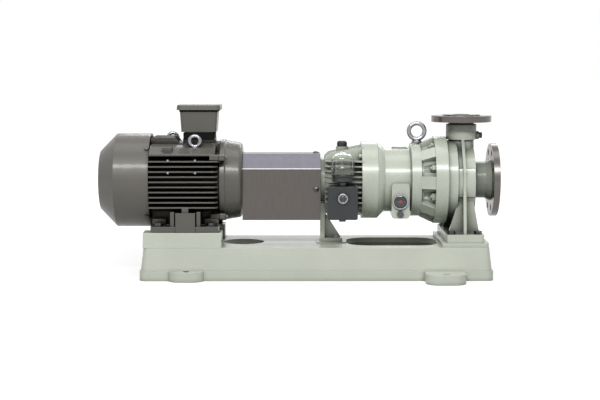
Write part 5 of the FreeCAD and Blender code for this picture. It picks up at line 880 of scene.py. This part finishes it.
def motor_foot(bm, sign):
    """One foot of the motor: the plate, two upright ribs, the panel between them, a pad and two low webs."""
    plate = ((-0.442, 0.086, -0.132), (-0.2625, 0.131, -0.116))
    ribs = [((x, 0.088, -0.118), (x + 0.011, 0.1285, -0.076)) for x in (-0.392, -0.322)]
    panel = ((-0.378, 0.090, -0.1315), (-0.325, 0.1325, -0.079))
    pad = ((-0.361, 0.095, -0.090), (-0.343, 0.1295, -0.066))
    webs = [((x - 0.018, 0.084, -0.118), (x + 0.018, 0.096, -0.098)) for x in FOOT_BOLTS_X]
    for first, second in [plate, *ribs, panel, pad, *webs]:
        near, far = sorted((sign * first[1], sign * second[1]))
        add_bar(bm, (first[0], near, first[2]), (second[0], far, second[2]))


def add_lugs(bm, sign, rear, front):
    """The two lugs on one side that join the frame and its drive-end shield."""
    for across, up in LUGS:
        add_prism(bm, rounded_box(*LUG_OUTLINE), rear, front, at(0, sign * across, up) @ ALONG_X)


def drive_shield(looks):
    """The full-bodied drive-end shield: a nearly straight rim, a round corner and a stepped face."""
    face, rear = SHIELD_FACE, SHIELD_REAR
    rim = []
    for degrees in range(0, 91, 15):
        angle = math.radians(degrees)
        rim.append((0.104 - SHIELD_CORNER + SHIELD_CORNER * math.cos(angle),
                    face - SHIELD_CORNER + SHIELD_CORNER * math.sin(angle)))
    outside = [(0.1017, rear), (0.112, rear), (0.112, rear + 0.014), (0.1095, SHIELD_LUG_FRONT)]
    steps = [(0.056, face), (0.052, face + 0.0045), (0.050, face + 0.006), (0.021, face + 0.006)]
    inside = [(0.021, face - 0.012), (0.040, face - 0.012), (0.040, face - 0.030), (0.048, face - 0.030),
              (0.048, face - 0.008), (0.082, face - 0.008), (0.094, rear - 0.004), (0.1017, rear - 0.004)]
    bm = bmesh.new()
    add_turned(bm, outside + rim + steps + inside, SHAFT, 96)
    for sign in (-1, 1):
        add_lugs(bm, sign, rear + 0.0003, SHIELD_LUG_FRONT)
    piece("end_shield_drive_cast", bm, looks["smooth_enamel"],
          replaces="end_shield_drive", bevel=0.0012, smooth=40)


def shield_screws(looks):
    """Hexagon screws of both end shields: in the lugs at the front, on the plate under the fan cover."""
    stem_end = SHIELD_REAR + 0.024
    stem = [(0, SHIELD_REAR - 0.02), (0.004, SHIELD_REAR - 0.02), (0.004, stem_end - 0.001),
            (0.0032, stem_end), (0, stem_end)]
    bm = bmesh.new()
    for sign in (-1, 1):
        for across, up in LUG_SCREWS:
            spot = at(0, sign * across, up) @ ALONG_X
            add_prism(bm, hexagon(0.0065), SHIELD_LUG_FRONT, SHIELD_LUG_FRONT + 0.0055, spot)
            add_turned(bm, stem, spot, 20)
        for up in (-FAN_END_SCREW, FAN_END_SCREW):
            spot = at(0, sign * FAN_END_SCREW, up) @ ALONG_X
            add_prism(bm, hexagon(0.0073), FRAME_REAR - 0.0175, FRAME_REAR - 0.0121, spot)
    piece("end_shield_screws", bm, looks["fixing_enamel"], replaces="end_shield_bolts",
          bevel=0.0004)


def lantern_cone(looks):
    """The cone that runs from the bracket joint down to the lantern's barrel."""
    bm = bmesh.new()
    add_turned(bm, [(0.084, 0.1682), (0.1045, 0.1682), (0.1040, 0.1700), (0.0895, 0.1850), (0.0882, 0.1872),
                    (0.084, 0.1872)], SHAFT, 96)
    piece("lantern_cone", bm, looks["pump_enamel"], bevel=0.0006, smooth=40)


def joint_screws(looks):
    """Screws of the bearing cover, and those of the lantern joint with their heads on the bracket's side."""
    stem = [(0, 0.0022), (0.0032, 0.0024), (0.0040, 0.0034), (0.0040, 0.032), (0, 0.032)]
    head = [(0, 0.1160), (0.0058, 0.1160), (0.0065, 0.1168), (0.0065, 0.1239), (0, 0.1239)]
    axis = Vector((0, 0, AXIS_Z))
    bm = bmesh.new()
    for step in range(4):
        angle = math.radians(45 + 90 * step)
        out = Vector((0, math.cos(angle), math.sin(angle)))
        cover = Matrix.Translation(out * COVER_SCREW_CIRCLE + axis) @ ALONG_X
        add_prism(bm, hexagon(0.0073), 0.0037, 0.0089, cover)
        add_turned(bm, stem, cover, 20)
        add_turned(bm, head, Matrix.Translation(out * JOINT_SCREW_CIRCLE + axis) @ ALONG_X, 24)
    piece("bracket_joint_screws", bm, looks["pump_enamel"], replaces="bracket_bolts",
          bevel=0.0004)


def casing_bands(looks):
    """The thick ring under the discharge flange and the raised belt on both sides of the volute."""
    bm = bmesh.new()
    add_turned(bm, [(0.034, 0.133), (0.0415, 0.133), (0.0420, 0.134), (0.0420, 0.1525), (0.0405, 0.1540),
                    (0.034, 0.1540)], at(DISCHARGE_X, 0, 0), 64)
    steps = list(range(BELT_STEPS + 1))
    for sign in (-1, 1):
        belt = []
        for radius, order in ((BELT_RADIUS, steps), (BELT_RADIUS - BELT_DEPTH, reversed(steps))):
            for step in order:
                angle = math.radians(BELT_START + BELT_SWEEP * step / BELT_STEPS)
                belt.append((sign * radius * math.cos(angle), radius * math.sin(angle)))
        add_prism(bm, belt, BELT_REAR, BELT_FRONT, SHAFT)
    piece("casing_bands", bm, looks["casing_enamel"], bevel=0.0016, smooth=40)


def guard_heads(looks):
    """Domed screws on the guard's top and both sides, each with a socket in its middle."""
    head = [(0, 0.0012), (0.0026, 0.0012), (0.0028, 0.0046), (0.0050, 0.0040), (0.0070, 0.0026),
            (0.0078, 0.0008), (0.0078, 0), (0, 0)]
    near = at(0, -GUARD_SIDE, GUARD_SCREW_HEIGHT) @ ALONG_Y
    far = at(0, GUARD_SIDE, GUARD_SCREW_HEIGHT) @ ALONG_Y @ Matrix.Rotation(math.pi, 4, "X")
    bm = bmesh.new()
    for matrix in (at(0, 0, GUARD_TOP), near, far):
        add_turned(bm, head, matrix, 32)
    piece("guard_domed_screws", bm, looks["dulled_zinc"], replaces="guard_screws")


def rail_cheeks(looks):
    """The outer faces of the motor rails, drawn out until they are flush with the base's sloping walls."""
    section = ((0.1310, 0.0870), (0.1383, 0.0870), (0.1331, 0.1276), (0.1310, 0.1276))
    bm = bmesh.new()
    for sign in (-1, 1):
        add_prism(bm, [(sign * y, z) for y, z in section], RAIL_REAR, RAIL_FRONT, ALONG_X)
    piece("baseplate_rail_cheeks", bm, looks["base_enamel"], bevel=0.0005)


def box_shade_strips(looks):
    """Black strips as painted shade: the shadow gap under the terminal box's lid, and the shaded neck that it
    stands on.
    """
    place = at(BOX_X, 0, 0)
    # Painted shade: dark rubber where the gap under the lid and the neck lie in shadow.
    bm = bmesh.new()
    add_prism(bm, rounded_box(0.0529, 0.0529, 0.008), 0.1890, 0.1940, place)
    add_prism(bm, rounded_box(0.0430, 0.0430, 0.008), 0.1125, 0.1312, place)
    piece("terminal_box_shade_strips", bm, looks["seal_rubber"], bevel=0.0003)


def fin_studs(looks):
    """Four small bright studs on the near fins of the motor."""
    stud = [(0, 0.1175), (0.0038, 0.1175), (0.0038, 0.1292), (0.0030, 0.1306), (0, 0.1308)]
    bm = bmesh.new()
    for x in STUDS_X:
        for height in STUD_HEIGHTS:
            add_turned(bm, stud, at(x, 0, height) @ ALONG_Y, 20)
    piece("motor_fin_studs", bm, looks["zinc_plate"])


def floor():
    """A plain pale floor that shows white to the camera and keeps the object's shadow."""
    half = FLOOR_HALF
    bm = bmesh.new()
    add_prism(bm, [(-half, -half), (half, -half), (half, half), (-half, half)], FLOOR_LOW_Z, FLOOR_TOP_Z,
              Matrix.Identity(4))
    mesh = to_mesh("floor", bm)
    item = bpy.data.objects.new("floor", mesh)
    bpy.context.scene.collection.objects.link(item)
    m = Maker("floor_board")
    m.tree.nodes.remove(m.bsdf)
    away = m.new("ShaderNodeVectorMath", operation="LENGTH")
    m.link(m.place, away.inputs[0])
    glow = m.new("ShaderNodeEmission")
    axes = m.axes()
    beside = m.math("GREATER_THAN", m.math("ABSOLUTE", axes["Y"]), BASE_HALF_WIDTH)
    beyond = m.math("GREATER_THAN", m.math("ABSOLUTE", axes["X"]), BASE_HALF_LENGTH)
    open_floor = m.math("MAXIMUM", beside, beyond)
    light = m.ranged(away.outputs["Value"], low=0.78, high=1.0, first=0.8, last=2.0)
    m.link(m.math("MULTIPLY", light, open_floor), glow.inputs["Strength"])
    hidden = m.new("ShaderNodeBsdfDiffuse")
    hidden.inputs["Color"].default_value = (*FLOOR_GREY, 1)
    seen = m.new("ShaderNodeBsdfDiffuse")
    seen.inputs["Color"].default_value = (*SHADOW_GREY, 1)
    shown = m.new("ShaderNodeAddShader")
    m.link(seen.outputs[0], shown.inputs[0])
    m.link(glow.outputs[0], shown.inputs[1])
    mix = m.new("ShaderNodeMixShader")
    m.link(shown_rays(m.tree), mix.inputs["Fac"])
    m.link(hidden.outputs[0], mix.inputs[1])
    m.link(shown.outputs[0], mix.inputs[2])
    m.link(mix.outputs[0], m.output.inputs["Surface"])
    mesh.materials.append(m.material)


def shown_rays(tree):
    """1 for rays from the camera, and for those that metal and glass send on."""
    rays = tree.nodes.new("ShaderNodeLightPath")
    total = rays.outputs["Is Camera Ray"]
    for name in ("Is Glossy Ray", "Is Transmission Ray"):
        node = tree.nodes.new("ShaderNodeMath")
        node.operation = "MAXIMUM"
        tree.links.new(total, node.inputs[0])
        tree.links.new(rays.outputs[name], node.inputs[1])
        total = node.outputs[0]
    return total


def world():
    """Even light all round, white where the camera, metal or glass sees it."""
    item = bpy.data.worlds.new("studio")
    bpy.context.scene.world = item
    item.use_nodes = True
    tree = item.node_tree
    tree.nodes.clear()
    output = tree.nodes.new("ShaderNodeOutputWorld")
    background = tree.nodes.new("ShaderNodeBackground")
    background.inputs["Color"].default_value = (1, 1, 1, 1)
    level = tree.nodes.new("ShaderNodeMapRange")
    level.inputs["To Min"].default_value = WORLD_LEVEL
    level.inputs["To Max"].default_value = 1.0
    tree.links.new(shown_rays(tree), level.inputs["Value"])
    tree.links.new(level.outputs[0], background.inputs["Strength"])
    tree.links.new(background.outputs[0], output.inputs["Surface"])


def softbox(name, place, size, power):
    """A large soft light that looks at the middle of the object."""
    data = bpy.data.lights.new(name, "AREA")
    data.shape = "RECTANGLE"
    data.size, data.size_y = size
    data.energy = power
    item = bpy.data.objects.new(name, data)
    item.location = place
    item.rotation_euler = (Vector(LIGHT_TARGET) - Vector(place)).to_track_quat("-Z", "Y").to_euler()
    bpy.context.scene.collection.objects.link(item)


def lights():
    """The main light from the near side, one from above and one from behind."""
    softbox("key", place=(-0.2, -2.7, 2.3), size=(3.0, 0.5), power=100)
    softbox("top", place=(0.0, 0.0, 2.8), size=(2.6, 1.2), power=17)
    softbox("rim", place=(0.3, 2.6, 1.8), size=(2.4, 0.6), power=20)


camera()
floor()
world()
lights()
bpy.context.scene.view_settings.view_transform = "Standard"
dress_nodes()
name_plate(LOOKS)
leak_window()
oiler_block(LOOKS)
oiler_collar(LOOKS)
oiler_bottle(LOOKS)
bottle_oil()
oiler_float()
oiler_bail(LOOKS)
oiler_sight(LOOKS)
motor_casting(LOOKS)
drive_shield(LOOKS)
shield_screws(LOOKS)
lantern_cone(LOOKS)
joint_screws(LOOKS)
casing_bands(LOOKS)
guard_heads(LOOKS)
box_shade_strips(LOOKS)
fin_studs(LOOKS)
rail_cheeks(LOOKS)
lifting_eyes(LOOKS)
lid_screws(LOOKS)
